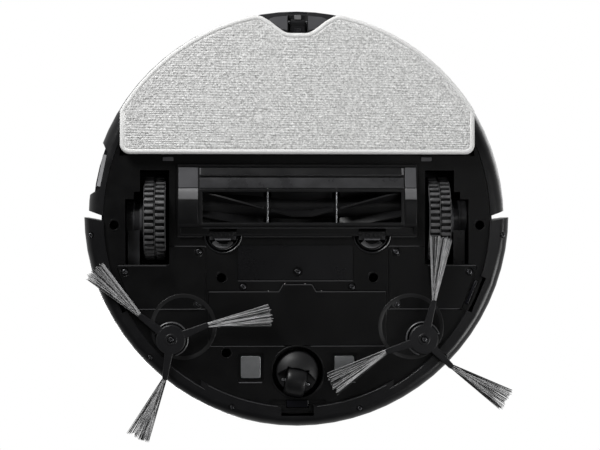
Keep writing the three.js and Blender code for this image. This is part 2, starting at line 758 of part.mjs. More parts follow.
// Tyre with a groove between its two tread bands.
function tyre(side) {
  const { side: half, radius: r, groove, chamfer: c } = wheel;
  const profile = [
    [wheel.rimRadius, -half],
    [r - c, -half],
    [r, c - half],
    [r, -groove],
    [r - 1.2, -groove],
    [r - 1.2, groove],
    [r, groove],
    [r, half - c],
    [r - c, half],
    [wheel.rimRadius, half],
    [wheel.rimRadius, -half],
  ];
  return mesh("tyre_" + sideName(side), revolve(profile, 32).rotate([0, 90, 0]), finishes.rubber);
}

// Compression spring between the arm and the roof of its housing.
function suspensionSpring(side) {
  const steps = 28;
  const perTurn = 7;
  const low = arm.hubRadius + wheel.radius - 2;
  const high = housing.top - housing.wall - 1.2;
  const points = Array.from({ length: steps + 1 }, (_, i) => {
    const a = (i / perTurn) * 2 * Math.PI;
    return new THREE.Vector3(4 * Math.cos(a), 4 * Math.sin(a), low + ((high - low) * i) / steps);
  });
  const section = new THREE.Shape(arc(0, 0, 0.7, 0, 288, 4).map(([x, y]) => new THREE.Vector2(x, y)));
  const coil = new THREE.ExtrudeGeometry(section, { steps, extrudePath: new THREE.CatmullRomCurve3(points) });
  const made = mesh("suspension_spring_" + sideName(side), solid(coil), finishes.steel);
  made.position.set(side * (arm.inner + 7), 18, 0);
  return made;
}

const wheelModule = (side) => [
  wheelHousing(side),
  wheelArm(side),
  suspensionSpring(side),
  group(side * wheel.x, 0, wheel.radius, rim(side), tyre(side)),
];

// ---------------------------------------------------------------- main brush, its bay, drive and guard

function brushBayMesh() {
  const b = brushBay;
  const d = duct;
  const inner = b.halfX - b.wall;
  let shell = box(-b.halfX, b.halfX, b.rear, b.front, body.plateTop + FLUSH, b.top);
  const tube = d.halfX + d.wall;
  shell = shell.add(box(-tube, tube, d.end, b.rear + 1, d.low - d.wall, d.high + d.wall));
  shell = shell.subtract(box(-inner, inner, b.rear + b.wall, b.front - b.wall, 0, b.top - b.wall));
  shell = shell.subtract(box(-d.halfX, d.halfX, d.end - 1, b.rear + b.wall + 1, d.low, d.high));
  shell = shell.subtract(discX(brush.stub + GAP, -FAR, 0, brush.y, brush.z, 24));
  shell = shell.subtract(discX(brush.pin + GAP, 0, FAR, brush.y, brush.z, 24));
  return mesh("brush_bay", shell, finishes.pan);
}

// Core with its drive stub at the left, out through the bay wall, and a bearing pin at the right.
function brushCore() {
  const b = brush;
  const [pulley0, pulley1] = [belt.x - belt.halfWidth, belt.x + belt.halfWidth];
  let core = discX(b.core, b.left - 3, b.right + 3, 0, 0, 24);
  core = core.add(discX(b.stub, pulley0, b.left, 0, 0, 20));
  core = core.add(discX(b.pin, b.right, brushBay.halfX - 0.6, 0, 0, 16));
  core = core.add(discX(belt.brushRadius, pulley0, pulley1, 0, 0, 32));
  return mesh("brush_core", core, finishes.greyPlastic);
}

// One stretch of a blade whose lean follows a V along the brush: lean gives the angle at each x.
function brushRow(lean, x0, x1) {
  const steps = Math.max(2, Math.round((x1 - x0) / 18));
  const root = brush.sleeve - 1;
  const outline = [[root, -1.1], [brush.radius, -0.7], [brush.radius, 0.7], [root, 1.1]];
  const sections = Array.from({ length: steps + 1 }, (_, i) => {
    const x = x0 + ((x1 - x0) * i) / steps;
    const [c, s] = [Math.cos(lean(x) * DEG), Math.sin(lean(x) * DEG)];
    return outline.map(([r, t]) => [x, r * c - t * s, r * s + t * c]);
  });
  const positions = [];
  const quad = (a, b, c, d) => positions.push(...a, ...b, ...c, ...a, ...c, ...d);
  for (let i = 0; i < steps; i++) {
    const [near, far] = [sections[i], sections[i + 1]];
    for (let k = 0; k < 4; k++) quad(near[k], far[k], far[(k + 1) % 4], near[(k + 1) % 4]);
  }
  const [first, last] = [sections[0], sections[steps]];
  quad(...first);
  quad(...[...last].reverse());
  const geometry = new THREE.BufferGeometry();
  return solid(geometry.setAttribute("position", new THREE.Float32BufferAttribute(positions, 3)));
}

function brushFins() {
  const middle = (brush.left + brush.right) / 2;
  const breaks = guard.wires.flatMap((x) => [x - brush.wireGap, x + brush.wireGap]);
  const stretches = [[brush.left, breaks[0]], [breaks[1], breaks[2]], [breaks[3], brush.right]];
  let made = discX(brush.sleeve, brush.left, brush.right, 0, 0, 24);
  made = made.subtract(discX(brush.core + FLUSH, -FAR, FAR, 0, 0, 24));
  for (let i = 0; i < brush.rows; i++) {
    const start = (i * 360) / brush.rows - 93;
    const lean = (x) => start + brush.twist * (0.5 - Math.abs(x - middle) / (brush.right - middle));
    for (const [x0, x1] of stretches) made = made.add(brushRow(lean, x0, x1));
  }
  return mesh("brush_fins", made, finishes.rubber);
}

// Toothed belt run round both pulleys, as a closed band.
function driveBelt() {
  const m = brushMotor;
  const [dy, dz] = [m.y - brush.y, m.z - brush.z];
  const tilt = Math.atan2(dz, dy) / DEG;
  const spread = Math.acos((belt.brushRadius - belt.motorRadius) / Math.hypot(dy, dz)) / DEG;
  const loop = (grow) => {
    const nearBrush = arc(brush.y, brush.z, belt.brushRadius + grow, tilt + spread, tilt + 360 - spread, 14);
    const nearMotor = arc(m.y, m.z, belt.motorRadius + grow, tilt - spread, tilt + spread, 10);
    return prismX([...nearBrush, ...nearMotor], belt.x - belt.halfWidth, belt.x + belt.halfWidth);
  };
  return mesh("brush_belt", loop(GAP + belt.thick).subtract(loop(GAP)), finishes.rubber);
}

// Motor beside the bay, with its pulley.
function brushDrive() {
  const m = brushMotor;
  const socket = discX(m.shaft + GAP, m.left - 1, m.left + 7, m.y, m.z, 16);
  const motor = discX(m.radius, m.left, m.right, m.y, m.z, 28).subtract(socket);
  const pulley = discX(belt.motorRadius, belt.x - belt.halfWidth, belt.x + belt.halfWidth, 0, 0, 24)
    .add(discX(m.shaft, belt.x, m.left + 6, 0, 0, 16));
  return [
    mesh("brush_motor", motor, finishes.steel),
    driveBelt(),
    group(0, m.y, m.z, mesh("motor_pulley", pulley, finishes.steel)),
  ];
}

// Section of the guard's shell from rear to front, along its underside and back along its top.
function guardSection() {
  const g = guard;
  const w = g.window;
  const under = [
    [g.rear, g.flange],
    [g.rear + 2, g.flange],
    [g.rear + 2.4, g.flange - 0.8],
    [w.rear - 1.2, g.low + 1.3],
    [w.rear + 3.4, g.low + 0.4],
    [w.rear + 7.9, g.low],
    [w.front + 1.3, g.low],
    [w.front + 3.5, g.low + 0.5],
    [w.front + 4.1, g.flange],
    [g.front, g.flange],
  ];
  const over = under.map(([y, z]) => [y, z + g.thick]);
  over[8][0] -= g.thick;
  over[7][0] -= g.thick;
  return [...under, ...over.reverse()];
}

function guardEnd(side) {
  const g = guard;
  const w = g.window;
  const [x0, x1] = span(side, g.halfX - 2.4, g.halfX);
  const outline = [
    [g.rear, g.flange],
    [w.rear - 1.2, g.low + 1.3],
    [w.front + 1.3, g.low],
    [g.front, g.flange],
    [g.front, g.flange + g.thick],
    [g.rear, g.flange + g.thick],
  ];
  return prismX(outline, x0, x1);
}

function guardFrame() {
  const g = guard;
  const w = g.window;
  const [x0, x1] = [g.blockLeft + 1, g.blockRight - 1];
  let frame = prismX(guardSection(), -g.halfX, g.halfX).add(guardEnd(-1)).add(guardEnd(1));
  frame = frame.subtract(box(w.left, w.right, w.rear, w.front, -1, 30));
  frame = frame.subtract(discX(brush.radius + 0.8, x0, x1, brush.y, brush.z, 48));
  frame = frame.subtract(box(x0, x1, g.grooveRear, g.grooveFront, -1, 7.4));
  for (const x of g.wires) {
    frame = frame.subtract(box(x - 1.2, x + 1.2, w.rear - 1.6, w.front + 1.6, g.wireZ - 1.2, 9));
  }
  for (const side of [-1, 1]) {
    const half = latch.halfWidth + GAP;
    const x = side * latch.x;
    const rear = latch.rear - GAP - latch.travel - 0.2;
    frame = frame.subtract(box(x - half, x + half, rear, FAR, g.flange - 1, 30));
  }
  // Seat of the rubber wiper strip.
  frame = frame.subtract(box(x0, x1, g.rear + 1.9, g.grooveRear, -1, g.flange - 0.8));
  return mesh("guard_frame", frame, finishes.greyPlastic);
}

function guardWire(x, name) {
  const g = guard;
  const { front, rear } = g.window;
  const rod = new THREE.CylinderGeometry(g.wireRadius, g.wireRadius, front - rear + 2.6, 12);
  return mesh(name, solid(rod.translate(x, (front + rear) / 2, g.wireZ)), finishes.steel);
}

function guardLatch(side) {
  const x = side * latch.x;
  const half = latch.halfWidth;
  const tab = box(x - half, x + half, latch.rear, latch.front, guard.flange, guard.flange + 2);
  return mesh("guard_latch_" + sideName(side), tab, finishes.greyPlastic);
}

function guardParts() {
  const g = guard;
  const [back, front] = [g.rear + 2.4, g.grooveRear - 0.5];
  const section = [[back, 6.9], [front, 5.2], [front, 7.5], [back, 7.5]];
  const strip = prismX(section, g.blockLeft + 1.5, g.blockRight - 1.5);
  return [
    guardFrame(),
    guardWire(g.wires[0], "guard_wire_left"),
    guardWire(g.wires[1], "guard_wire_right"),
    mesh("wiper_strip", strip, finishes.rubber),
    guardLatch(-1),
    guardLatch(1),
  ];
}

// ---------------------------------------------------------------- caster

// Domed fork, drawn with its wheel straight ahead of the stem.
function casterFork() {
  const c = caster;
  const f = fork;
  const slotHalf = c.halfWidth + 0.7;
  let made = revolve([...quarter(0, f.low, f.radius, f.round, 5), [f.radius, f.top], [0, f.top]], 32);
  made = made.add(disc(f.stem, f.top - 1, c.top + 3, 0, 0, 20));
  made = made.subtract(discX(c.radius + 1, -slotHalf, slotHalf, c.trail, c.radius, 32));
  made = made.subtract(box(-slotHalf, slotHalf, c.trail, FAR, -1, c.radius * 2 + 1));
  made = made.subtract(disc(f.arch.radius, -1, f.arch.top, 0, f.arch.y, 36));
  return made.subtract(discX(f.axle + 0.35, -c.halfWidth - 4, c.halfWidth + 4, c.trail, c.radius, 16));
}

function casterRoll() {
  const [r, half] = [caster.radius, caster.halfWidth];
  const profile = [
    [0, -half],
    [r - 2.2, -half],
    [r - 1, 1 - half],
    [r, -half / 2],
    [r, half / 2],
    [r - 1, half - 1],
    [r - 2.2, half],
    [0, half],
  ];
  const bore = discX(fork.axle + FLUSH, -FAR, FAR, 0, 0, 16);
  return revolve(profile, 30).rotate([0, 90, 0]).subtract(bore).translate([0, caster.trail, caster.radius]);
}

function casterParts() {
  const c = caster;
  const axleHalf = c.halfWidth + 3.6;
  let socket = disc(c.socket + c.wall, body.plateTop + FLUSH, c.top, 0, c.y, 40);
  socket = socket.subtract(disc(c.socket, 0, c.top - c.wall, 0, c.y, 40));
  socket = socket.subtract(disc(fork.stem + GAP, 0, FAR, 0, c.y, 20));
  const turned = group(
    0,
    c.y,
    0,
    mesh("caster_fork", casterFork(), finishes.greyPlastic),
    mesh("caster_axle", discX(fork.axle, -axleHalf, axleHalf, c.trail, c.radius, 16), finishes.steel),
    mesh("caster_wheel", casterRoll(), finishes.rubber),
  );
  turned.rotation.z = c.swivel * DEG;
  return [mesh("caster_socket", socket, finishes.pan), turned];
}

// ---------------------------------------------------------------- side brushes

function sideBrushMesh(side) {
  const s = sideBrush;
  const spec = side < 0 ? s.left : s.right;
  const rim = [[s.hub - 1.4, 3.4], [s.hub, 4.6], [s.hub, 7]];
  const hub = [[0, 3.4], ...rim, [s.boss, 7.6], [s.boss, 10.4], [0, 10.4]];
  const root = s.hub - 4;
  const tip = s.tuft - s.arm;
  let made = revolve(hub, 28);
  spec.arms.forEach((angle, i) => {
    const limb = prism([[root, -3.4], [s.arm, -2.6], [s.arm, 2.6], [root, 3.4]], 3.2, 6);
    const tuft = prism([[-1.5, -1.6], [tip, -5.4], [tip, 5.4], [-1.5, 1.6]], 1.2, 4.2);
    const swept = tuft.rotate([0, 0, spec.sweep[i]]).translate([s.arm, 0, 0]);
    made = made.add(limb.add(swept).rotate([0, 0, angle]));
  });
  made = made.subtract(disc(s.shaft + GAP, 6, FAR, 0, 0, 20));
  const node = mesh("side_brush_" + sideName(side), made, finishes.bristle);
  node.position.set(side * s.x, s.y, 0);
  return node;
}

function sideBrushMotor(side) {
  const s = sideBrush;
  const m = sideMotor;
  const made = disc(m.radius, m.low, m.high, 0, 0, 32).add(disc(s.shaft, 6.6, m.low + 1, 0, 0, 20));
  const node = mesh("side_brush_motor_" + sideName(side), made, finishes.greyPlastic);
  node.position.set(side * s.x, s.y, 0);
  return node;
}

// ---------------------------------------------------------------- mop module

function mopTank() {
  const t = mop;
  const l = tankLatch;
  const pocket = (grow) => {
    const half = l.pocketHalf + grow;
    return box(-half, half, -FAR, l.pocketFront + grow, -1, l.pocketTop + grow);
  };
  const hollow = prism(mopOutline(1 + t.tankWall, false), t.tankBottom + t.tankWall, t.tankTop - t.tankWall);
  let tank = prism(mopOutline(1, false), t.tankBottom, t.tankTop);
  tank = tank.subtract(hollow.subtract(pocket(t.tankWall))).subtract(pocket(0));
  for (const side of [-1, 1]) {
    const [x0, x1] = span(side, tankTab.from, tankTab.to);
    tank = tank.add(box(x0, x1, mop.front - 2, mop.front, tankTab.low, tankTab.high));
  }
  tank = tank.subtract(disc(filler.radius, t.tankTop - 4, FAR, filler.x, filler.y, 24));
  const pinHalf = l.pocketHalf + 1.5;
  return tank.subtract(discX(l.pinRadius + FLUSH, -pinHalf, pinHalf, l.pinY, l.pinZ, 12));
}

// Lever in the notch that frees the module; it turns on a pin held by the tank.
function tankLatchLever() {
  const l = tankLatch;
  const end = l.pinY - 6;
  let lever = box(-l.halfWidth, l.halfWidth, end, l.pocketFront - 1.2, l.pinZ - 1.6, l.pinZ + 1.4);
  lever = lever.add(discX(3, -l.halfWidth, l.halfWidth, l.pinY, l.pinZ, 20));
  lever = lever.add(box(-3.4, 3.4, end, end + 4, l.pinZ - 2.6, l.pinZ));
  return lever.add(discX(l.pinRadius, -l.pocketHalf - 1, l.pocketHalf + 1, l.pinY, l.pinZ, 12));
}

const mopParts = () => [
  mesh("mop_pad", prism(mopOutline(0, true), 0, mop.padThick), finishes.cloth),
  mesh("mop_tank", mopTank(), finishes.greyPlastic),
  mesh("tank_latch", tankLatchLever(), finishes.steel),
];

// ---------------------------------------------------------------- dust bin, fan and electronics

// The bin's outside, or its room inside when shrunk by inset; its rear follows the body's wall.
function binShape(inset) {
  const [half, z0, z1] = [bin.halfX - inset, bin.bottom + inset, bin.top - inset];
  const round = disc(body.radius - 0.6 - inset, z0, z1, 0, 0, BIG_ROUND);
  return round.intersect(box(-half, half, -FAR, bin.front - inset, z0, z1));
}

function filterMedia() {
  const f = filter;
  const x0 = bin.wall - bin.halfX;
  const step = (f.front - f.rear) / f.pleats;
  let media = box(x0 + FLUSH, x0 + f.thick, f.rear, f.front, f.low, f.high);
  for (let i = 0; i < f.pleats; i++) {
    const y = f.rear + step * (i + 0.5);
    const half = step * 0.22;
    media = media.subtract(box(x0 + 3, FAR, y - half, y + half, f.low + f.border, f.high - f.border));
  }
  return mesh("bin_filter", media, finishes.paper);
}

function binParts() {
  const b = bin;
  const f = filter;
  const inlet = b.inlet;
  const rear = -body.radius + 24;
  let made = binShape(0).subtract(binShape(b.wall));
  made = made.subtract(box(-inlet.halfX, inlet.halfX, b.front - 5, b.front + 5, inlet.low, inlet.high));
  const outlet = [f.rear + 2, f.front - 2, f.low + f.border, f.high - f.border];
  made = made.subtract(box(-b.halfX - 1, b.wall + 1 - b.halfX, ...outlet));
  const half = binButton.halfX;
  made = made.subtract(box(-half - GAP, half + GAP, -FAR, rear, binButton.low - GAP, binButton.high + GAP));
  const push = disc(body.radius - 0.9, 0, FAR, 0, 0, BIG_ROUND)
    .subtract(disc(body.radius - binButton.deep, -1, FAR + 1, 0, 0, BIG_ROUND))
    .intersect(box(-half, half, -FAR, rear, binButton.low, binButton.high));
  return [
    mesh("dust_bin", made, finishes.bin),
    filterMedia(),
    mesh("bin_button", push, finishes.greyPlastic),
  ];
}

function fanHousing() {
  const f = fan;
  let shell = disc(f.radius, f.low, f.high, f.x, f.y, 36);
  shell = shell.subtract(disc(f.radius - f.wall, f.low + f.wall, f.high - f.wall, f.x, f.y, 36));
  shell = shell.subtract(disc(11, f.high - 4, FAR, f.x, f.y, 24));
  shell = shell.subtract(box(-FAR, f.x - 10, f.y + 4, f.y + 18, f.low + 6, f.low + 20));
  shell = shell.add(disc(f.pin, f.low, f.low + 6, f.x, f.y, 16));
  return mesh("fan_housing", shell, finishes.greyPlastic);
}

function impeller() {
  const f = fan;
  let made = disc(f.impeller, 6, 8, 0, 0, 24).add(disc(6, 6, 20, 0, 0, 16));
  for (let i = 0; i < f.blades; i++) {
    made = made.add(box(5, f.impeller - 1, -0.8, 0.8, 7, 17).rotate([0, 0, (i * 360) / f.blades]));
  }
  const node = mesh("impeller", made.subtract(disc(f.pin + GAP, 0, 7.4, 0, 0, 16)), finishes.greyPlastic);
  node.position.set(f.x, f.y, f.low);
  return node;
}

function mainBoard() {
  const z0 = board.bottom;
  const z1 = z0 + board.thick;
  const half = [[72, 72], [72, 118], [48, 142]];
  const plate = prism([...half, ...mirrorX(half)], z0, z1);
  const chips = box(-20, 10, 90, 118, z1 - 0.5, z1 + 2.4).add(box(24, 40, 84, 100, z1 - 0.5, z1 + 6.4));
  return mesh("main_board", plate.add(chips), finishes.board);
}

// ---------------------------------------------------------------- lidar and buttons

function lidarCup() {
  const l = lidar;
  const [low, inner] = [l.cupBottom, l.cup - 2];
  const profile = [
    [0, low],
    [l.cup, low],
    [l.cup, body.deck],
    [inner, body.deck],
    [inner, low + 2],
    [5, low + 2],
    [5, low + 4],
    [0, low + 4],
  ];
  return mesh("lidar_base", revolve(profile, 40), finishes.pan);
}

// Fixed cap on four posts, open all round for the beam.
function turretCap() {
  const l = lidar;
  const base = body.deck + GAP;
  const inner = l.cap - l.capWall;
  const profile = [
    [inner, base],
    [l.cap + 3, base],
    [l.cap + 1, base + 2.2],
    [l.cap, l.window],
    [l.cap, l.capTop - 1.6],
    [l.cap - 1.6, l.capTop],
    [0, l.capTop],
    [0, l.capTop - l.capThick],
    [inner, l.capTop - l.capThick],
    [inner, base],
  ];
  let gaps = disc(FAR, l.window, l.capTop - l.capThick - 1.4).subtract(disc(inner - 0.5, 0, FAR));
  for (const angle of [45, 135, 225, 315]) {
    gaps = gaps.subtract(box(l.cap - 6, l.cap + 6, -l.post, l.post, 0, FAR).rotate([0, 0, angle]));
  }
  return mesh("turret_cap", revolve(profile, 48).subtract(gaps), finishes.shell);
}

function lidarRotor() {
  const l = lidar;
  const low = l.cupBottom + 5;
  const shoulder = body.deck + 1;
  const top = l.capTop - 4.4;
  const drum = [[0, low], [l.rotor, low], [l.rotor, shoulder]];
  const profile = [...drum, [l.neck, shoulder + 2], [l.neck, top], [0, top]];
  const eye = box(-16, 16, l.rotor - 9, FAR, shoulder + 1, top - 1.6);
  return mesh("lidar_rotor", revolve(profile, 48).subtract(eye), finishes.greyPlastic);
}

function topButton(name, side) {
  const { radius: r, proud } = button;
  const low = body.coverBottom + 0.2;
  const top = body.deck + proud;
  const cap = revolve([[0, low], [r, low], [r, top - 0.6], [r - 0.8, top], [0, top - 0.3]], 32);
  const made = mesh(name, cap, finishes.greyPlastic);
  made.position.set(side * button.x, button.y, 0);
  return made;
}

// ---------------------------------------------------------------- the whole object

const robot = new THREE.Group();
robot.name = "robot_vacuum";
robot.add(basePan(), sideRing(), topCover(), ...batteryParts(), ...cliffWindows(), exhaustGrille());
robot.add(...bumperParts());
for (const side of [-1, 1]) {
  robot.add(sidePlateMesh(side), chargeContact(side), ...wheelModule(side));
  robot.add(sideBrushMesh(side), sideBrushMotor(side));
}
robot.add(brushBayMesh(), group(0, brush.y, brush.z, brushCore(), brushFins()), ...brushDrive());
robot.add(...guardParts());
robot.add(...casterParts(), ...mopParts(), ...binParts(), fanHousing(), impeller(), mainBoard());
robot.add(group(0, lidar.y, 0, lidarCup(), turretCap(), lidarRotor()));
robot.add(topButton("power_button", -1), topButton("home_button", 1));

export default robot;
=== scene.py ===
"""Robot vacuum with its mop pad: the looks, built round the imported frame, in metres."""
import json
import math
import random

import bpy
from mathutils import Matrix, Vector

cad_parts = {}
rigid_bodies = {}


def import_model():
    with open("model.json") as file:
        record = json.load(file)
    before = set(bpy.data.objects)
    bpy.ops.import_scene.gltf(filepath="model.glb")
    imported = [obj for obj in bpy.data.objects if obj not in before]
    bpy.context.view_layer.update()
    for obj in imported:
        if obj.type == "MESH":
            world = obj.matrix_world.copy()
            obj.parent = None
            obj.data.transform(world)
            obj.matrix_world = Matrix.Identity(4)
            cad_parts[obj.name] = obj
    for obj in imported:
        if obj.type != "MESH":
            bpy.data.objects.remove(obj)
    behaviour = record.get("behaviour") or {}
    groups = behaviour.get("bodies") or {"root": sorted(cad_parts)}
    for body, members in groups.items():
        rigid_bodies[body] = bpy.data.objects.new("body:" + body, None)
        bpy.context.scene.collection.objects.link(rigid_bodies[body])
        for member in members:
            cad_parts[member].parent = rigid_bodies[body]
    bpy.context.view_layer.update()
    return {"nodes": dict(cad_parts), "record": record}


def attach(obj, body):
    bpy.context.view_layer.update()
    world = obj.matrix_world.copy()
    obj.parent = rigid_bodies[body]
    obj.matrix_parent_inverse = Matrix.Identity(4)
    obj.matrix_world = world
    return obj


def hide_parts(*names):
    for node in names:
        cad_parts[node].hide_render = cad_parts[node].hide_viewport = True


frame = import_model()

MM = 0.001
SIDES = (("left", -1), ("right", 1))

# Where things lie on the robot, in millimetres
PAN_Z = 11  # underside of the body above the floor
WHEEL_X = 118.5
AXLE_Z = 35
BRUSH_X, BRUSH_Y = 104.8, 100.4
DISH_X, DISH_Y = 94.7, 90.1
CONTACT_X = 39
LATCH_X, LATCH_Y = 62, 13.5
CASTER_Y = 128.1
TURRET_Y = -45
MARK_Z0, MARK_Z1 = 79.35, 79.8  # the marks on the buttons

# ------------------------------------------------------------------ camera, stage and lights


CAMERA_PLACE = (-0.0475, 0.0056, -1.4091)
CAMERA_TILT = math.radians(2)
CAMERA_LENS = 102.5
SENSOR_WIDTH = 36
CLIP_END = 20


def add_camera():
    """Looks up at the underside, a little from the left, with the front of the robot at the bottom."""
    bpy.ops.object.camera_add(location=CAMERA_PLACE, rotation=(math.pi, CAMERA_TILT, 0))
    camera = bpy.context.object
    camera.data.lens = CAMERA_LENS
    camera.data.sensor_width = SENSOR_WIDTH
    camera.data.clip_end = CLIP_END
    bpy.context.scene.camera = camera


def area_light(name, place, aim, size, power):
    bpy.ops.object.light_add(type="AREA", location=place)
    light = bpy.context.object
    light.name = name
    light.data.energy = power
    light.data.size = size
    light.rotation_euler = (Vector(aim) - Vector(place)).to_track_quat("-Z", "Y").to_euler()


def add_lights():
    area_light("under_key", (-0.8, -1.15, -0.75), (0, 0, 0), 0.7, 26)
    area_light("under_fill", (1.15, 0.5, -0.8), (0, 0, 0), 0.7, 10)
    area_light("under_sheen", (0.46, -0.14, -2.1), (0.1, 0, 0), 0.35, 0.8)
    area_light("above_key", (-0.8, 0.9, 1.6), (0, 0, 0), 1.0, 30)
    area_light("above_fill", (1.2, -0.8, 1.2), (0, 0, 0), 1.4, 14)


BELOW_LIGHT = 0.03
HORIZON_LIGHT = 0.3


def add_world():
    """Plain white to look at; as light, a bright band round the horizon that fades below."""
    world = bpy.data.worlds.new("studio")
    bpy.context.scene.world = world
    world.use_nodes = True
    nodes, links = world.node_tree.nodes, world.node_tree.links
    nodes.clear()
    out = nodes.new("ShaderNodeOutputWorld")
    mix = nodes.new("ShaderNodeMixShader")
    path = nodes.new("ShaderNodeLightPath")
    lit = nodes.new("ShaderNodeBackground")
    seen = nodes.new("ShaderNodeBackground")
    place = nodes.new("ShaderNodeTexCoord")
    split = nodes.new("ShaderNodeSeparateXYZ")
    lift = nodes.new("ShaderNodeMapRange")
    ramp = nodes.new("ShaderNodeValToRGB")
    lift.inputs["From Min"].default_value = -1
    lift.inputs["From Max"].default_value = 1
    ramp.color_ramp.interpolation = "EASE"
    below, above = ramp.color_ramp.elements
    below.position, below.color = 0.18, (*[BELOW_LIGHT] * 3, 1)
    above.position, above.color = 0.75, (0.5, 0.5, 0.5, 1)
    horizon = ramp.color_ramp.elements.new(0.47)
    horizon.color = (*[HORIZON_LIGHT] * 3, 1)
    links.new(place.outputs["Generated"], split.inputs["Vector"])
    links.new(split.outputs["Z"], lift.inputs["Value"])
    links.new(lift.outputs["Result"], ramp.inputs["Fac"])
    links.new(ramp.outputs["Color"], lit.inputs["Color"])
    seen.inputs["Color"].default_value = (1, 1, 1, 1)
    links.new(path.outputs["Is Camera Ray"], mix.inputs["Fac"])
    links.new(lit.outputs["Background"], mix.inputs[1])
    links.new(seen.outputs["Background"], mix.inputs[2])
    links.new(mix.outputs["Shader"], out.inputs["Surface"])
    bpy.context.scene.view_settings.view_transform = "Standard"


def add_floor():
    """A pale floor that shows from above only, so that the underside can be looked at through it."""
    bpy.ops.mesh.primitive_plane_add(size=6, location=(0, 0, -0.0004))
    floor = bpy.context.object
    floor.name = "floor"
    paint = bpy.data.materials.new("floor_paint")
    paint.use_nodes = True
    nodes, links = paint.node_tree.nodes, paint.node_tree.links
    shader = nodes["Principled BSDF"]
    shader.inputs["Base Color"].default_value = (0.8, 0.8, 0.79, 1)
    shader.inputs["Roughness"].default_value = 0.7
    clear = nodes.new("ShaderNodeBsdfTransparent")
    mix = nodes.new("ShaderNodeMixShader")
    side = nodes.new("ShaderNodeNewGeometry")
    links.new(side.outputs["Backfacing"], mix.inputs["Fac"])
    links.new(shader.outputs["BSDF"], mix.inputs[1])
    links.new(clear.outputs["BSDF"], mix.inputs[2])
    links.new(mix.outputs["Shader"], nodes["Material Output"].inputs["Surface"])
    floor.data.materials.append(paint)
    floor.visible_shadow = False
    floor.visible_diffuse = False
    floor.visible_glossy = False
    floor.visible_transmission = False


# ------------------------------------------------------------------ materials


NOISE_ROUGHNESS = 0.6
NOISE_LOW, NOISE_HIGH = 0.3, 0.7  # the part of a noise's range that is spread out


class Paint:
    """A Principled material built up step by step on Object coordinates."""

    def __init__(self, name, color, roughness, metallic=0.0, specular=0.5):
        self.material = bpy.data.materials.new(name)
        self.material.use_nodes = True
        self.nodes = self.material.node_tree.nodes
        self.links = self.material.node_tree.links
        self.shader = self.nodes["Principled BSDF"]
        self.shader.inputs["Base Color"].default_value = (*color, 1)
        self.shader.inputs["Roughness"].default_value = roughness
        self.shader.inputs["Metallic"].default_value = metallic
        self.shader.inputs["Specular IOR Level"].default_value = specular
        self.color = color
        self.roughness = roughness
        self.place = self.nodes.new("ShaderNodeTexCoord").outputs["Object"]
        self.height = None

    def noise(self, scale, detail=4, stretch=None):
        made = self.nodes.new("ShaderNodeTexNoise")
        made.inputs["Scale"].default_value = scale
        made.inputs["Detail"].default_value = detail
        made.inputs["Roughness"].default_value = NOISE_ROUGHNESS
        place = self.place
        if stretch:
            mapping = self.nodes.new("ShaderNodeMapping")
            mapping.inputs["Scale"].default_value = stretch
            self.links.new(place, mapping.inputs["Vector"])
            place = mapping.outputs["Vector"]
        self.links.new(place, made.inputs["Vector"])
        return made.outputs["Fac"]

    def between(self, source, low, high):
        made = self.nodes.new("ShaderNodeMapRange")
        made.inputs["From Min"].default_value = NOISE_LOW
        made.inputs["From Max"].default_value = NOISE_HIGH
        made.inputs["To Min"].default_value = low
        made.inputs["To Max"].default_value = high
        self.links.new(source, made.inputs["Value"])
        return made.outputs["Result"]

    def mottle(self, scale, light, dark, detail=4):
        """The colour drifts between two shares of itself."""
        ramp = self.nodes.new("ShaderNodeMix")
        ramp.data_type = "RGBA"
        ramp.inputs["A"].default_value = (*[c * dark for c in self.color], 1)
        ramp.inputs["B"].default_value = (*[min(1, c * light) for c in self.color], 1)
        self.links.new(self.between(self.noise(scale, detail), 0, 1), ramp.inputs["Factor"])
        self.links.new(ramp.outputs["Result"], self.shader.inputs["Base Color"])
        return self

    def polish(self, scale, spread, stretch=None):
        """The roughness drifts by spread either way."""
        low, high = self.roughness - spread, self.roughness + spread
        drift = self.between(self.noise(scale, 5, stretch), low, high)
        self.links.new(drift, self.shader.inputs["Roughness"])
        return self

    def grain(self, scale, depth):
        """A fine relief, depth in metres."""
        bump = self.nodes.new("ShaderNodeBump")
        bump.inputs["Distance"].default_value = depth
        self.links.new(self.noise(scale, 2), bump.inputs["Height"])
        if self.height:
            self.links.new(self.height, bump.inputs["Normal"])
        self.height = bump.outputs["Normal"]
        self.links.new(self.height, self.shader.inputs["Normal"])
        return self

    def coat(self, weight, roughness):
        self.shader.inputs["Coat Weight"].default_value = weight
        self.shader.inputs["Coat Roughness"].default_value = roughness
        return self


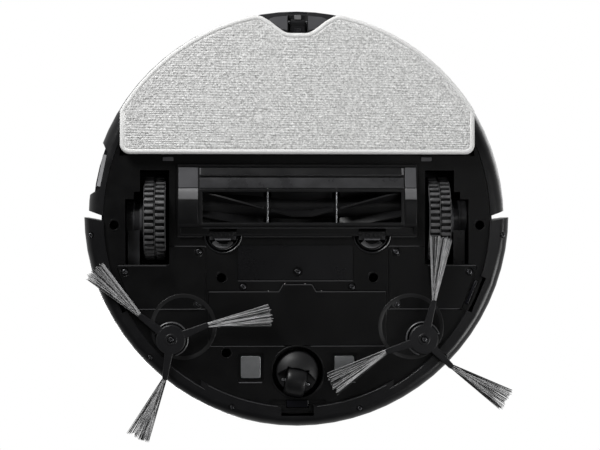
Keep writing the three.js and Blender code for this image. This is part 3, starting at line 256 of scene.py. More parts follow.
def make_paints():
    paints = {
        "shell": Paint("shell_black", (0.0055, 0.0055, 0.0062), 0.32).polish(60, 0.05).grain(2600, 0.00001),
        "pan": Paint("pan_black", (0.002, 0.002, 0.0022), 0.38, specular=0.28)
        .polish(45, 0.07).grain(2200, 0.00002),
        "grey_plastic": Paint("dark_grey_plastic", (0.018, 0.018, 0.0195), 0.42).mottle(30, 1.2, 0.85)
        .polish(80, 0.05).grain(2400, 0.00002),
        # The tyre's lugs and carcass are one rubber in two shades: the carcass's near-black rubber paint is
        # painted shade between the lugs; on the caster wheel the same paint is its own dark tone.
        "tread": Paint("tread_rubber", (0.085, 0.085, 0.087), 0.4).mottle(220, 1.5, 0.6).grain(1400, 0.00004),
        "soft_rubber": Paint("soft_rubber", (0.006, 0.006, 0.0065), 0.38, specular=0.4)
        .polish(90, 0.06).grain(900, 0.00002),
        # one bristle material in a light copy and a near-black copy: lit strands and painted shade
        "bristle": Paint("bristle_grey", (0.48, 0.48, 0.485), 0.3).mottle(160, 1.15, 0.75),
        "bristle_dark": Paint("bristle_dark_grey", (0.02, 0.02, 0.0205), 0.35).mottle(160, 1.4, 0.6),
        # the mottle's dark end darkens the white cloth at random, as painted shade between the loops
        "pad_cloth": Paint("terry_white", (0.98, 0.98, 0.97), 0.95)
        .mottle(700, 1.02, 0.4, 3).grain(2500, 0.00012),
        "contact_metal": Paint("contact_metal", (0.42, 0.43, 0.44), 0.4, 1.0).polish(90, 0.04, (1, 12, 1))
        .mottle(60, 1.15, 0.85),
        "steel": Paint("bright_steel", (0.62, 0.63, 0.65), 0.22, 1.0).polish(90, 0.06),
        "lens": Paint("dark_lens", (0.004, 0.004, 0.006), 0.08).coat(0.6, 0.04).polish(20, 0.03),
        "board": Paint("board_green", (0.01, 0.09, 0.035), 0.45).mottle(300, 1.4, 0.7),
        "bin": Paint("smoked_bin", (0.015, 0.016, 0.019), 0.2).polish(30, 0.05).coat(0.4, 0.1),
        "guard": Paint("guard_grey", (0.085, 0.085, 0.09), 0.32).mottle(18, 1.25, 0.85).polish(70, 0.05)
        .grain(2400, 0.00002),
        # a paler copy of the guard grey; on the end blocks' bulges it is a painted highlight band
        "guard_pale_and_highlight": Paint("guard_pale_grey", (0.145, 0.145, 0.149), 0.34)
        .mottle(40, 1.2, 0.85).grain(2400, 0.00002),
        "guard_dark": Paint("guard_black", (0.0045, 0.0045, 0.005), 0.36, specular=0.4)
        .polish(60, 0.06).grain(2400, 0.00002),
        "hub": Paint("brush_hub_grey", (0.009, 0.009, 0.01), 0.38, specular=0.35)
        .polish(80, 0.05).grain(2400, 0.00002),
        "gloss": Paint("polished_black", (0.012, 0.012, 0.0125), 0.36).polish(30, 0.04),
        # lighter paint for thin strips along edges: painted highlights
        "painted_highlight_line": Paint("edge_sheen", (0.075, 0.075, 0.078), 0.35).polish(60, 0.06),
        # lighter than the wheel arms' plastic, standing in for light that doesn't reach into the wheel wells:
        # painted light; the front guard slat takes it as its plain grey
        "gearbox": Paint("grey_and_gearbox_painted_light", (0.036, 0.036, 0.038), 0.3).mottle(60, 1.3, 0.7).polish(60, 0.06),
        "trim": Paint("trim_black", (0.011, 0.011, 0.012), 0.25).polish(60, 0.05),
        "label": Paint("label_film", (0.004, 0.004, 0.0046), 0.28, specular=0.35)
        .mottle(14, 1.5, 0.7).polish(25, 0.06),
        "screw": Paint("black_screw", (0.07, 0.07, 0.074), 0.34, 1.0).mottle(400, 1.4, 0.7).polish(200, 0.08),
        "dome": Paint("satin_dome", (0.009, 0.009, 0.0097), 0.5, specular=0.35).polish(40, 0.04),
        "vent_grey": Paint("pale_vent_grey", (0.42, 0.42, 0.43), 0.45)
        .mottle(60, 1.15, 0.85).polish(60, 0.06),
        "mark": Paint("button_mark", (0.5, 0.51, 0.53), 0.4).mottle(300, 1.1, 0.9),
        "binding": Paint("binding_white", (0.86, 0.86, 0.85), 0.9)
        .mottle(1200, 1.08, 0.85).grain(3000, 0.0001),
        "paper": Paint("filter_paper", (0.72, 0.72, 0.68), 0.9).mottle(400, 1.1, 0.85).grain(1500, 0.00008),
    }
    return {name: paint.material for name, paint in paints.items()}


# ------------------------------------------------------------------ shared modelling steps


def deselect():
    for obj in bpy.context.view_layer.objects:
        obj.select_set(False)


def only(obj):
    deselect()
    obj.hide_viewport = False
    obj.select_set(True)
    bpy.context.view_layer.objects.active = obj


def finish_piece(obj, name, paint, body):
    only(obj)
    bpy.ops.object.transform_apply(location=True, rotation=True, scale=True)
    obj.name = name
    obj.data.name = name
    obj.data.materials.clear()
    obj.data.materials.append(PAINTS[paint])
    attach(obj, body)
    return obj


def apply_modifiers(obj):
    only(obj)
    for modifier in list(obj.modifiers):
        bpy.ops.object.modifier_apply(modifier=modifier.name)


FLAT_MARGIN = 20  # degrees past the bevel's limit that are still shaded smooth


def soften(obj, width, segments=2, angle=30):
    """Rounds the edges and shades the flats flat."""
    bevel = obj.modifiers.new("edges", "BEVEL")
    bevel.width = width
    bevel.segments = segments
    bevel.limit_method = "ANGLE"
    bevel.angle_limit = math.radians(angle)
    apply_modifiers(obj)
    bpy.ops.object.shade_smooth_by_angle(angle=math.radians(angle + FLAT_MARGIN))
    flats = obj.modifiers.new("flats", "WEIGHTED_NORMAL")
    flats.keep_sharp = True
    flats.weight = 100
    apply_modifiers(obj)
    return obj


def close_shape():
    """Merges doubles, turns the faces outwards and leaves edit mode."""
    bpy.ops.mesh.select_all(action="SELECT")
    bpy.ops.mesh.remove_doubles(threshold=0.00001)
    bpy.ops.mesh.normals_make_consistent(inside=False)
    bpy.ops.object.mode_set(mode="OBJECT")
    obj = bpy.context.object
    only(obj)
    bpy.ops.object.transform_apply(location=True, rotation=True, scale=True)
    return obj


def chain(points):
    """Starts a shape as a run of edges through points in millimetres, left selected in edit mode."""
    points = [Vector(point) * MM for point in points]
    deselect()
    bpy.ops.mesh.primitive_plane_add(size=MM, location=points[0])
    bpy.ops.object.mode_set(mode="EDIT")
    bpy.ops.mesh.merge(type="CENTER")
    for a, b in zip(points, points[1:]):
        bpy.ops.mesh.extrude_vertices_move(TRANSFORM_OT_translate={"value": b - a})
    bpy.ops.mesh.select_all(action="SELECT")


def extruded(points, step):
    """A solid with a flat outline through points, pushed along step."""
    chain(points)
    bpy.ops.mesh.edge_face_add()
    bpy.ops.mesh.extrude_region_move(TRANSFORM_OT_translate={"value": Vector(step) * MM})
    return close_shape()


def plate(outline, z0, z1):
    return extruded([(x, y, z0) for x, y in outline], (0, 0, z1 - z0))


def bar(section, x0, x1):
    """A bar along X with that [y, z] section."""
    return extruded([(x0, y, z) for y, z in section], (x1 - x0, 0, 0))


def turned(profile, x, y, steps=40, sweep=360, start=0):
    """A solid turned about the upright axis at (x, y) from [radius, z] points."""
    a = math.radians(start)
    chain([(x + r * math.cos(a), y + r * math.sin(a), z) for r, z in profile])
    bpy.ops.mesh.spin(steps=steps, angle=-math.radians(sweep), center=(x * MM, y * MM, 0), axis=(0, 0, 1))
    return close_shape()


def turned_x(profile, y, z, steps=48):
    """A solid turned about the axis along X at (y, z) from [x, radius] points."""
    chain([(x, y + r, z) for x, r in profile])
    bpy.ops.mesh.spin(steps=steps, angle=2 * math.pi, center=(0, y * MM, z * MM), axis=(1, 0, 0))
    return close_shape()


def rectangle(x0, x1, y0, y1, r=0):
    """Outline of a rectangle with rounded corners."""
    steps = 4
    if not r:
        return [(x0, y0), (x1, y0), (x1, y1), (x0, y1)]
    points = []
    corners = ((x1 - r, y0 + r, -90), (x1 - r, y1 - r, 0), (x0 + r, y1 - r, 90), (x0 + r, y0 + r, 180))
    for cx, cy, a0 in corners:
        for i in range(steps + 1):
            a = math.radians(a0 + 90 * i / steps)
            points.append((cx + r * math.cos(a), cy + r * math.sin(a)))
    return points


def border(x0, x1, y0, y1, width, z0, z1):
    """A flat rectangular frame, inset from one face and pushed up."""
    deselect()
    bpy.ops.mesh.primitive_plane_add(size=MM, location=((x0 + x1) / 2 * MM, (y0 + y1) / 2 * MM, z0 * MM))
    bpy.ops.object.mode_set(mode="EDIT")
    bpy.ops.transform.resize(value=(x1 - x0, y1 - y0, 1))
    bpy.ops.mesh.inset(thickness=width * MM)
    bpy.ops.mesh.delete(type="FACE")
    bpy.ops.mesh.select_all(action="SELECT")
    bpy.ops.mesh.extrude_region_move(TRANSFORM_OT_translate={"value": (0, 0, (z1 - z0) * MM)})
    return close_shape()


def copied(obj, matrix):
    """Another piece of the same make, with its own mesh."""
    made = obj.copy()
    made.data = obj.data.copy()
    made.data.transform(matrix)
    bpy.context.scene.collection.objects.link(made)
    return made


def shift(x, y, z=0):
    return Matrix.Translation(Vector((x, y, z)) * MM)


def joined(pieces):
    deselect()
    for piece in pieces:
        piece.select_set(True)
    bpy.context.view_layer.objects.active = pieces[0]
    bpy.ops.object.join()
    return bpy.context.object


def carve(obj, cutters):
    """Cuts the joined cutters out of a piece."""
    cutter = joined(cutters)
    cut = obj.modifiers.new("cut", "BOOLEAN")
    cut.operation = "DIFFERENCE"
    cut.solver = "EXACT"
    cut.use_self = True
    cut.object = cutter
    apply_modifiers(obj)
    bpy.data.objects.remove(cutter)
    return obj


MERGE_WIDTH = 0.00002
MERGE_ANGLE = math.radians(1.2)
COPY_BEVEL_ANGLE = 28


def refined_copy(node, paint, body, width, cutters):
    """A copy of a CAD node with its facets merged, its wells cut and its edges rounded."""
    source = frame["nodes"][node]
    obj = bpy.data.objects.new(node + "_shape", source.data.copy())
    bpy.context.scene.collection.objects.link(obj)
    obj.data.materials.clear()
    only(obj)
    bpy.ops.object.mode_set(mode="EDIT")
    bpy.ops.mesh.select_all(action="SELECT")
    bpy.ops.mesh.remove_doubles(threshold=MERGE_WIDTH)
    bpy.ops.mesh.dissolve_limited(angle_limit=MERGE_ANGLE)
    bpy.ops.object.mode_set(mode="OBJECT")
    if cutters:
        carve(obj, list(cutters))
    soften(obj, width, angle=COPY_BEVEL_ANGLE)
    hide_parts(node)
    return finish_piece(obj, node + "_shape", paint, body)


# ------------------------------------------------------------------ screws and their wells

# x, y, the node that the screw holds, and the height of its face
SCREWS = [
    (-82.2, 28, "side_plate_left", 11), (82.2, 28, "side_plate_right", 11),
    (-82.7, 71.4, "side_plate_left", 11), (82.7, 71.4, "side_plate_right", 11),
    (-143.4, 44.6, "side_plate_left", 11), (143.4, 44.6, "side_plate_right", 11),
    (-45.3, 57.1, "base_pan", 11), (45.3, 57.1, "base_pan", 11), (0, 44.5, "base_pan", 11),
    (-171.2, 14, "bumper", 8.9), (171.2, 14, "bumper", 8.9),
    (-122.2, 115.4, "bumper", 8.7), (122.2, 115.4, "bumper", 8.7),
    (-54.6, 156.9, "bumper", 8.7), (51.5, 158.2, "bumper", 8.7),
]
DEEP_HOLES = [(-63.3, 49.5), (63.3, 49.5), (-152.2, 5.8), (152.2, 5.8), (-59.2, 111.9)]


def well(x, y, low, radius, depth):
    return turned([(0, low - 3), (radius, low - 3), (radius, low + depth), (0, low + depth)], x, y, 24)


def screw_head():
    """Pan-head screw with a cross recess, its face down at z 0."""
    head = turned([(0, 0), (1.5, 0.05), (2.3, 0.3), (2.6, 0.8), (2.6, 1.1), (0, 1.1)], 0, 0, 20)
    long, thin = 1.5, 0.32
    arms = [plate(rectangle(-a, a, -b, b), -1, 0.6) for a, b in ((long, thin), (thin, long))]
    return soften(carve(head, arms), 0.08 * MM, 1)


def add_screws():
    master = screw_head()
    for index, (x, y, node, low) in enumerate(SCREWS):
        turn = Matrix.Rotation(math.radians(37 * index), 4, "Z")
        small = Matrix.Scale(0.8 if node == "bumper" else 1.0, 4)
        screw = copied(master, shift(x, y, low + 0.35) @ turn @ small)
        finish_piece(screw, f"screw_{index + 1}", "screw", BODIES[node])
    return master


def wells_in(node):
    made = []
    for x, y, held, low in SCREWS:
        if held == node:
            made.append(well(x, y, low, 2.7 if node == "bumper" else 3.6, 1.3))
    if node == "base_pan":
        made += [well(x, y, PAN_Z, 3.8, 4) for x, y in DEEP_HOLES]
        made += [
            plate(rectangle(-101.6, 101.4, -46.6, 17.2, 3), 8, 11.45),
            plate(rectangle(-49.9, 46.6, 22, 51.7, 1), 8, 11.5),
            plate(rectangle(-24, 24, 150.6, 155.4, 1.5), 8, 12.3),
            plate([(137, 50), (154, 47), (154.5, 60), (147, 77), (137.4, 75), (143, 62)], 8, 12.2),
        ]
        for side in (-1, 1):
            made.append(plate(rectangle(side * CONTACT_X - 11, side * CONTACT_X + 11, 112, 136, 2), 8, 12))
    return made


# ------------------------------------------------------------------ underside plates


def add_underside():
    label = plate(rectangle(-49.4, 46.1, 22.5, 51.2, 0.8), 11.1, 11.7)
    label = carve(label, [well(0, 44.5, PAN_Z, 4.4, 3)])
    finish_piece(soften(label, 0.12 * MM), "blank_label", "label", "chassis")
    for index, (x, y) in enumerate(DEEP_HOLES):
        ring = turned([(3.9, 11.2), (3.9, 10.8), (5.1, 10.8), (5.2, 11.2)], x, y, 28)
        close_ring(ring)
        finish_piece(soften(ring, 0.1 * MM), f"hole_collar_{index + 1}", "pan", "chassis")
    for name, side in SIDES:
        x = side * CONTACT_X
        # a thin lip in lighter paint under each contact: a painted highlight line
        lip = plate(rectangle(x - 9.6, x + 9.6, 136.2, 137.0, 0.3), 10.6, 11.2)
        finish_piece(soften(lip, 0.2 * MM), f"contact_lip_{name}", "guard", "chassis")
    ring = turned([(21.2, 11.1), (21.2, 10.7), (22.0, 10.6), (22.6, 10.8), (22.7, 11.1)], 0, CASTER_Y, 64)
    close_ring(ring)
    finish_piece(soften(ring, 0.15 * MM), "caster_ring", "pan", "chassis")
    for name, side in SIDES:
        add_dish(name, side)
        tab = plate(rectangle(side * 107.5 - 4.4, side * 107.5 + 4.4, -50.8, -47.6, 0.5), 10.2, 11.2)
        finish_piece(soften(tab, 0.3 * MM), f"bay_tab_{name}", "guard", "chassis")
    add_edge_lines()
    add_lip_lines()


# Painted highlights along edges, as thin strips in a lighter paint: a run of points and the height of the
# face. The last is on the brush guard.
PAINTED_HIGHLIGHT_LINES = [
    ([(-73.4, 61.2), (-15.4, 61.2), (-12, 55.3), (12, 55.3), (15.4, 61.2), (73.4, 61.2)], 11),
    ([(-73.4, 106.4), (-11, 106.4)], 11), ([(11, 106.4), (73.4, 106.4)], 11),
    ([(-75.9, 24), (-77, 23.2), (-102, 23.2)], 11), ([(75.9, 24), (77, 23.2), (102, 23.2)], 11),
    ([(-149, 39.4), (-109, 39.4)], 11), ([(149, 39.4), (109, 39.4)], 11),
    ([(-135, 75.5), (-77, 75.5)], 11), ([(135, 75.5), (77, 75.5)], 11),
    ([(-49.4, 52.1), (46.1, 52.1)], 11),
    ([(-99.2, 15.4), (-79, 15.4)], 11), ([(99.2, 15.4), (79, 15.4)], 11),
    ([(-45, 15.4), (45, 15.4)], 11),
    ([(-78.5, 8.1), (86, 8.1)], 8.5),
]
LINE_HALF = 0.22  # half the width of such a line


def add_lip_lines():
    """Painted highlight line along the inner edge of the bumper's lip, which steps in at the front: thin
    bands in the lighter edge paint.
    """
    lines = []
    for radius, start, sweep in ((161.4, 118.5, 12), (157.2, 96, 22), (157.2, 62, 22), (161.4, 49.5, 12)):
        profile = [(radius - 0.2, 8.9), (radius - 0.2, 8.58), (radius + 0.2, 8.58), (radius + 0.2, 8.9)]
        lines.append(capped(turned(profile, 0, 0, 30, sweep, start)))
    finish_piece(joined(lines), "lip_lines", "painted_highlight_line", "bumper")


# Thin strips in a lighter paint along the plates' edges: painted highlights.
def add_edge_lines():
    strips = []
    for points, low in PAINTED_HIGHLIGHT_LINES:
        for (x0, y0), (x1, y1) in zip(points, points[1:]):
            length = math.hypot(x1 - x0, y1 - y0)
            nx, ny = (y0 - y1) / length * LINE_HALF, (x1 - x0) / length * LINE_HALF
            outline = [(x0 - nx, y0 - ny), (x1 - nx, y1 - ny), (x1 + nx, y1 + ny), (x0 + nx, y0 + ny)]
            strips.append(plate(outline, low - 0.08, low + 0.3))
    guard_line = strips.pop()
    finish_piece(joined(strips), "edge_lines", "painted_highlight_line", "chassis")
    finish_piece(guard_line, "guard_edge_line", "guard", "brush_guard")


def add_dish(name, side):
    """Shallow polished dish round a side brush, with a collar at its hub whose lighter paint is a painted
    highlight arc.
    """
    bowl = [(0, 12.5), (17, 12.5), (19.5, 12.3), (22, 11.8), (24.4, 11.2), (26.2, 10.8),
            (27.3, 10.75), (27.6, 11.2), (26, 12.6), (0, 12.9)]
    dish = soften(turned(bowl, side * DISH_X, DISH_Y, 96), 0.1 * MM)
    finish_piece(dish, f"brush_dish_{name}", "gloss", "chassis")
    # The collar stays open on the side that the bumper comes to.
    start = 104 if side > 0 else 196
    profile = [(12.9, 12), (12.9, 10.4), (13.6, 10.0), (14.3, 10.4), (14.5, 12)]
    collar = turned(profile, side * BRUSH_X, BRUSH_Y, 48, 240, start)
    # the collar's lighter paint is a painted highlight arc round the hub
    finish_piece(capped(collar), f"hub_collar_{name}", "painted_highlight_line", "chassis")


def close_ring(obj):
    """Closes the open inner side of a turned band."""
    only(obj)
    bpy.ops.object.mode_set(mode="EDIT")
    bpy.ops.mesh.select_all(action="DESELECT")
    bpy.ops.mesh.select_non_manifold()
    bpy.ops.mesh.bridge_edge_loops()
    bpy.ops.mesh.select_all(action="SELECT")
    bpy.ops.mesh.normals_make_consistent(inside=False)
    bpy.ops.object.mode_set(mode="OBJECT")


# ------------------------------------------------------------------ brush guard


def guard_piece(obj, width, name, paint, segments=2, body="brush_guard"):
    """Finishes a piece of the guard or its latches, with its edges rounded by width in millimetres."""
    finish_piece(soften(obj, width * MM, segments), name, paint, body)


def add_guard():
    """Slats, end blocks, window frame and latches of the brush guard."""
    rear = [(-42.0, 8.6), (-41.4, 7.4), (-38.8, 6.7), (-36.0, 6.6), (-35.6, 7.2), (-35.6, 8.6)]
    front = [(-33.7, 7.0), (-33.4, 5.9), (-30.0, 4.9), (-26.4, 4.2), (-24.7, 4.4), (-24.4, 5.2), (-24.4, 7)]
    slats = [bar(section, -81.2, 88.2) for section in (rear, front)]
    guard_piece(slats[0], 0.35, "guard_slat_rear", "guard_pale_and_highlight", 3)
    guard_piece(slats[1], 0.35, "guard_slat_front", "gearbox", 3)
    slope = [(-42.3, 8.4), (-41.8, 7.2), (-33, 5.6), (-25.2, 4.4), (-25.2, 8.4)]
    bulge = [(-24.8, 8.8), (-24.8, 4.6), (-23.2, 3.2), (-20.4, 2.5), (-16.8, 2.4), (-15.5, 2.7), (-15.5, 8.8)]
    hump = [(-15.3, 8.8), (-15.3, 3.1), (-12, 2.5), (-6, 2.4), (0, 2.8), (4.6, 3.4), (7.4, 5.4), (7.4, 8.8)]
    # Each end block is one grey plastic: the bulge's pale paint is a painted highlight band, the bearing's
    # near-black paint is painted shade.
    for name, x0, x1 in (("left", -98.6, -82.4), ("right", 89.2, 98.6)):
        guard_piece(bar(slope, x0, x1), 0.5, f"guard_block_{name}", "guard", 3)
        guard_piece(bar(bulge, x0, x1), 0.3, f"guard_bulge_{name}", "guard_pale_and_highlight", 3)
        guard_piece(bar(hump, x0, x1), 0.3, f"guard_bearing_{name}", "guard_dark")
    guard_piece(border(-81.4, 88.4, -24.2, 6.4, 2.6, 2.9, 4.2), 0.5, "guard_window_frame", "guard_dark", 3)
    guard_piece(border(-99.4, 99.4, -44.4, 14.6, 1.6, 8.0, 8.9), 0.3, "guard_edge", "guard_dark")
    for name, side in SIDES:
        add_latch(name, side * LATCH_X)


def add_latch(name, x):
    """Recess and sliding tab of one guard latch."""
    # what, its profile, then steps, sweep, start and paint
    bands = [
        ("rim", [(14.7, 11.2), (14.7, 10.2), (15.2, 9.9), (15.9, 10.2), (16.1, 11.2)],
         28, 180, 0, "trim"),
        ("scoop", [(7.6, 15), (8.2, 13.4), (10.0, 12.2), (11.6, 12.0), (11.6, 15)],
         24, 104, 38, "guard_pale_and_highlight"),
        ("seat", [(12.2, 12.8), (12.2, 11.2), (12.8, 10.9), (13.2, 11.3), (13.2, 12.8)],
         24, 160, 10, "guard_dark"),
    ]
    for part, profile, steps, sweep, start, paint in bands:
        band = turned(profile, x, LATCH_Y, steps, sweep, start)
        finish_piece(capped(band), f"latch_{part}_{name}", paint, "chassis")
    body = f"guard_latch_{name}"
    tab = plate(rectangle(x - 8.6, x + 8.6, 11.4, 17.6, 0.8), 7.6, 8.9)
    guard_piece(tab, 0.35, f"latch_tab_{name}", "guard_dark", 3, body)
    grip = bar([(16.9, 8.2), (17.1, 6.9), (17.8, 6.7), (18.4, 7.4), (18.4, 9.2)], x - 6.6, x + 6.6)
    guard_piece(grip, 0.3, f"latch_grip_{name}", "guard", 3, body)
    section = [(12.4, 7.8), (12.7, 7.2), (15.0, 7.2), (15.3, 7.8)]
    for i in range(4):
        rib = bar(section, x - 6.2 + 3.6 * i, x - 4.6 + 3.6 * i)
        guard_piece(rib, 0.15, f"latch_rib_{name}_{i + 1}", "guard_dark", 1, body)


def capped(obj):
    """Closes the ends and the back of a part-turned band, and rounds it."""
    only(obj)
    bpy.ops.object.mode_set(mode="EDIT")
    bpy.ops.mesh.select_all(action="DESELECT")
    bpy.ops.mesh.select_non_manifold()
    bpy.ops.mesh.edge_face_add()
    bpy.ops.mesh.select_all(action="SELECT")
    bpy.ops.mesh.normals_make_consistent(inside=False)
    bpy.ops.object.mode_set(mode="OBJECT")
    return soften(obj, 0.1 * MM, 1)


# ------------------------------------------------------------------ drive wheels


LUG_COUNT = 40
LUG_OFFSET = 4.55  # from the middle of the tyre to the middle of a band
RIM_OFFSET = 8.75
# x from, x to and radius of each band on the gearbox
GEARBOX_BANDS = ((129.2, 131.4, 15.9), (135.6, 137.2, 15.75), (140.6, 142.4, 14.6))


def add_tyre(name, side):
    """Two bands of lugs, half a step apart, on a turned carcass, and the bands on the gearbox. The carcass is
    near black as painted shade between the lugs, and the gearbox bands' lighter paint is a painted highlight.
    """
    x = side * WHEEL_X
    profile = [(x - 8.6, 26.4), (x - 8.7, 31.9), (x - 8.0, 32.6), (x - 0.8, 32.7), (x - 0.5, 31.6),
               (x + 0.5, 31.6), (x + 0.8, 32.7), (x + 8.0, 32.6), (x + 8.7, 31.9), (x + 8.6, 26.4)]
    carcass = turned_x(profile, 0, AXLE_Z, 72)
    close_ring(carcass)
    soften(carcass, 0.25 * MM)
    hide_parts("tyre_" + name)
    # near-black carcass between the lugs: painted shade
    finish_piece(carcass, f"tyre_carcass_{name}", "soft_rubber", f"drive_wheel_{name}")
    lug = plate([(-3.75, -1.3), (3.75, -1.3), (3.75, 1.3), (-3.75, 1.3)], 32.2, 34.95)
    soften(lug, 0.5 * MM, 2)
    lugs = []
    for i in range(LUG_COUNT):
        for band in (-1, 1):
            turn = Matrix.Rotation(2 * math.pi * (i + (0.5 if band > 0 else 0)) / LUG_COUNT, 4, "X")
            lugs.append(copied(lug, shift(x + band * LUG_OFFSET, 0, AXLE_Z) @ turn))
    bpy.data.objects.remove(lug)
    for offset in (-RIM_OFFSET, 0, RIM_OFFSET):
        low, high = x + offset - 0.3, x + offset + 0.3
        rim = turned_x([(low, 31), (low, 34), (x + offset, 34.35), (high, 34), (high, 31)], 0, AXLE_Z, 72)
        close_ring(rim)
        lugs.append(rim)
    finish_piece(joined(lugs), f"tread_lugs_{name}", "tread", f"drive_wheel_{name}")
    # the gearbox bands take the lighter guard paint: painted highlight bands
    for i, (x0, x1, r) in enumerate(GEARBOX_BANDS):
        band = turned_x([(side * x0, r - 2), (side * x0, r - 0.2), (side * (x0 + 0.3), r),
                         (side * (x1 - 0.3), r), (side * x1, r - 0.2), (side * x1, r - 2)], 0, AXLE_Z, 56)
        close_ring(band)
        soften(band, 0.1 * MM, 1)
        finish_piece(band, f"gearbox_band_{name}_{i + 1}", "guard", f"wheel_arm_{name}")


# ------------------------------------------------------------------ side brushes

# hub x, then angle and sweep of each arm in degrees
BRUSHES = {
    "left": (-BRUSH_X, [(-22, 13.7), (98.8, 15), (218.1, 6.8)]),
    "right": (BRUSH_X, [(-75.2, -8.9), (44.7, -13), (162.1, -12.1)]),
}
CLUMPS = 11
CLUMP_STEP = 1.75  # degrees
CLUMP_STRANDS = 9
# share of strands given the near-black copy, as painted shade
DARK_SHARE = 0.45
LIMB = [(9.5, -3.7), (20, -2.9), (31.5, -2.4), (33.4, -1.8), (33.4, 1.8), (31.5, 2.4), (20, 2.9), (9.5, 3.7)]


def bristle_strand():
    """One bristle along X from 0 to 1 millimetre, thinner at its end."""
    deselect()
    bpy.ops.mesh.primitive_cylinder_add(vertices=4, radius=0.27 * MM, depth=MM, rotation=(0, math.pi / 2, 0),
                                        location=(0.5 * MM, 0, 0))
    obj = bpy.context.object
    bpy.ops.object.transform_apply(location=True, rotation=True, scale=True)
    bpy.ops.object.mode_set(mode="EDIT")
    bpy.ops.mesh.select_all(action="DESELECT")
    bpy.ops.object.mode_set(mode="OBJECT")
    for vertex in obj.data.vertices:
        vertex.select = vertex.co.x > 0.5 * MM
    bpy.ops.object.mode_set(mode="EDIT")
    bpy.ops.transform.resize(value=(1, 0.6, 0.6))
    bpy.ops.mesh.select_all(action="SELECT")
    return close_shape()


def add_side_brush(name, screw):
    hub_x, arms = BRUSHES[name]
    dice = random.Random(11 if name == "left" else 23)
    body = f"side_brush_{name}"
    hub = turned([(0, 2.6), (4.6, 2.6), (5.0, 2.9), (11.4, 2.9), (12.2, 3.6), (12.3, 6.9), (6.1, 7.7),
                  (6.1, 10.4), (0, 10.4)], hub_x, BRUSH_Y, 56)
    carve(hub, [well(hub_x, BRUSH_Y, 2.6, 3.1, 1.4)])
    soften(hub, 0.15 * MM)
    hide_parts(body)
    finish_piece(hub, f"brush_hub_{name}", "hub", body)
    hub_screw = copied(screw, shift(hub_x, BRUSH_Y, 2.9))
    finish_piece(hub_screw, f"hub_screw_{name}", "screw", body)
    strand = bristle_strand()
    for index, (angle, sweep) in enumerate(arms):
        place = shift(hub_x, BRUSH_Y) @ Matrix.Rotation(math.radians(angle), 4, "Z")
        limb = plate(LIMB, 3.0, 5.9)
        soften(limb, 0.7 * MM, 3)
        limb.data.transform(place)
        finish_piece(limb, f"brush_arm_{name}_{index + 1}", "hub", body)
        strands = {"bristle": [], "bristle_dark": []}
        for clump in range(CLUMPS):
            spread = math.radians((clump - 5) * CLUMP_STEP + dice.uniform(-0.5, 0.5))
            reach = dice.uniform(53.5, 55.5)
            for _ in range(CLUMP_STRANDS):
                way = spread + math.radians(dice.gauss(0, 0.34)) + math.radians(sweep)
                shade = "bristle_dark" if dice.random() < DARK_SHARE else "bristle"
                length = reach + dice.uniform(-1.6, 0.6)
                drop = math.radians(dice.uniform(2.0, 3.1))
                start = shift(31.4 + dice.uniform(-0.5, 0.5), dice.uniform(-1.6, 1.6), dice.uniform(3.9, 5.0))
                turn = Matrix.Rotation(way, 4, "Z") @ Matrix.Rotation(drop, 4, "Y")
                matrix = place @ start @ turn @ Matrix.Diagonal((length, 1, 1, 1))
                strands[shade].append(copied(strand, matrix))
        for shade, pieces in strands.items():
            finish_piece(joined(pieces), f"{shade}_tuft_{name}_{index + 1}", shade, body)
    bpy.data.objects.remove(strand)


# ------------------------------------------------------------------ mop pad

PAD_RADIUS = 171.7
PAD_HALF = 146.8
PAD_FRONT = -52.9
PAD_CORNER = 7.0
FIELD_INSET = 3.4
FIELD_GRID = (450, 190)
FIELD_Z = 0.97  # low side of the field above the floor, before the loops
CROWN, CROWN_WIDTH = 0.5, 2.2  # how far the field rises at its edge, and over what width
LOOP_DEPTH = 0.95
LOOP_FADE = 2.5  # the loops shrink over this width at the edge
PIPING_INSET, PIPING_RADIUS, PIPING_Z = 2.3, 2.2, 2.5
PIPING_STEPS = 150
NOTCH = [(8.5, -153.2), (12, -154.6), (16.5, -157.4), (24, -163.4), (31, -167.4), (36, -168.4)]


def pad_rear(x, inset):
    """y of the pad's rear edge at x."""
    across = abs(x)
    radius = PAD_RADIUS - inset
    y = -math.sqrt(radius * radius - across * across)
    if across < NOTCH[0][0]:
        return NOTCH[0][1] + inset
    for (x0, y0), (x1, y1) in zip(NOTCH, NOTCH[1:]):
        if across < x1:
            return max(y, y0 + (y1 - y0) * (across - x0) / (x1 - x0) + inset)
    return y


def pad_front(x, inset):
    """y of the pad's front edge at x, with rounded corners."""
    front, half, corner = PAD_FRONT - inset, PAD_HALF - inset, PAD_CORNER - inset * 0.5
    over = abs(x) - (half - corner)
    if over <= 0:
        return front
    return front - corner + math.sqrt(max(0.0, corner * corner - over * over))


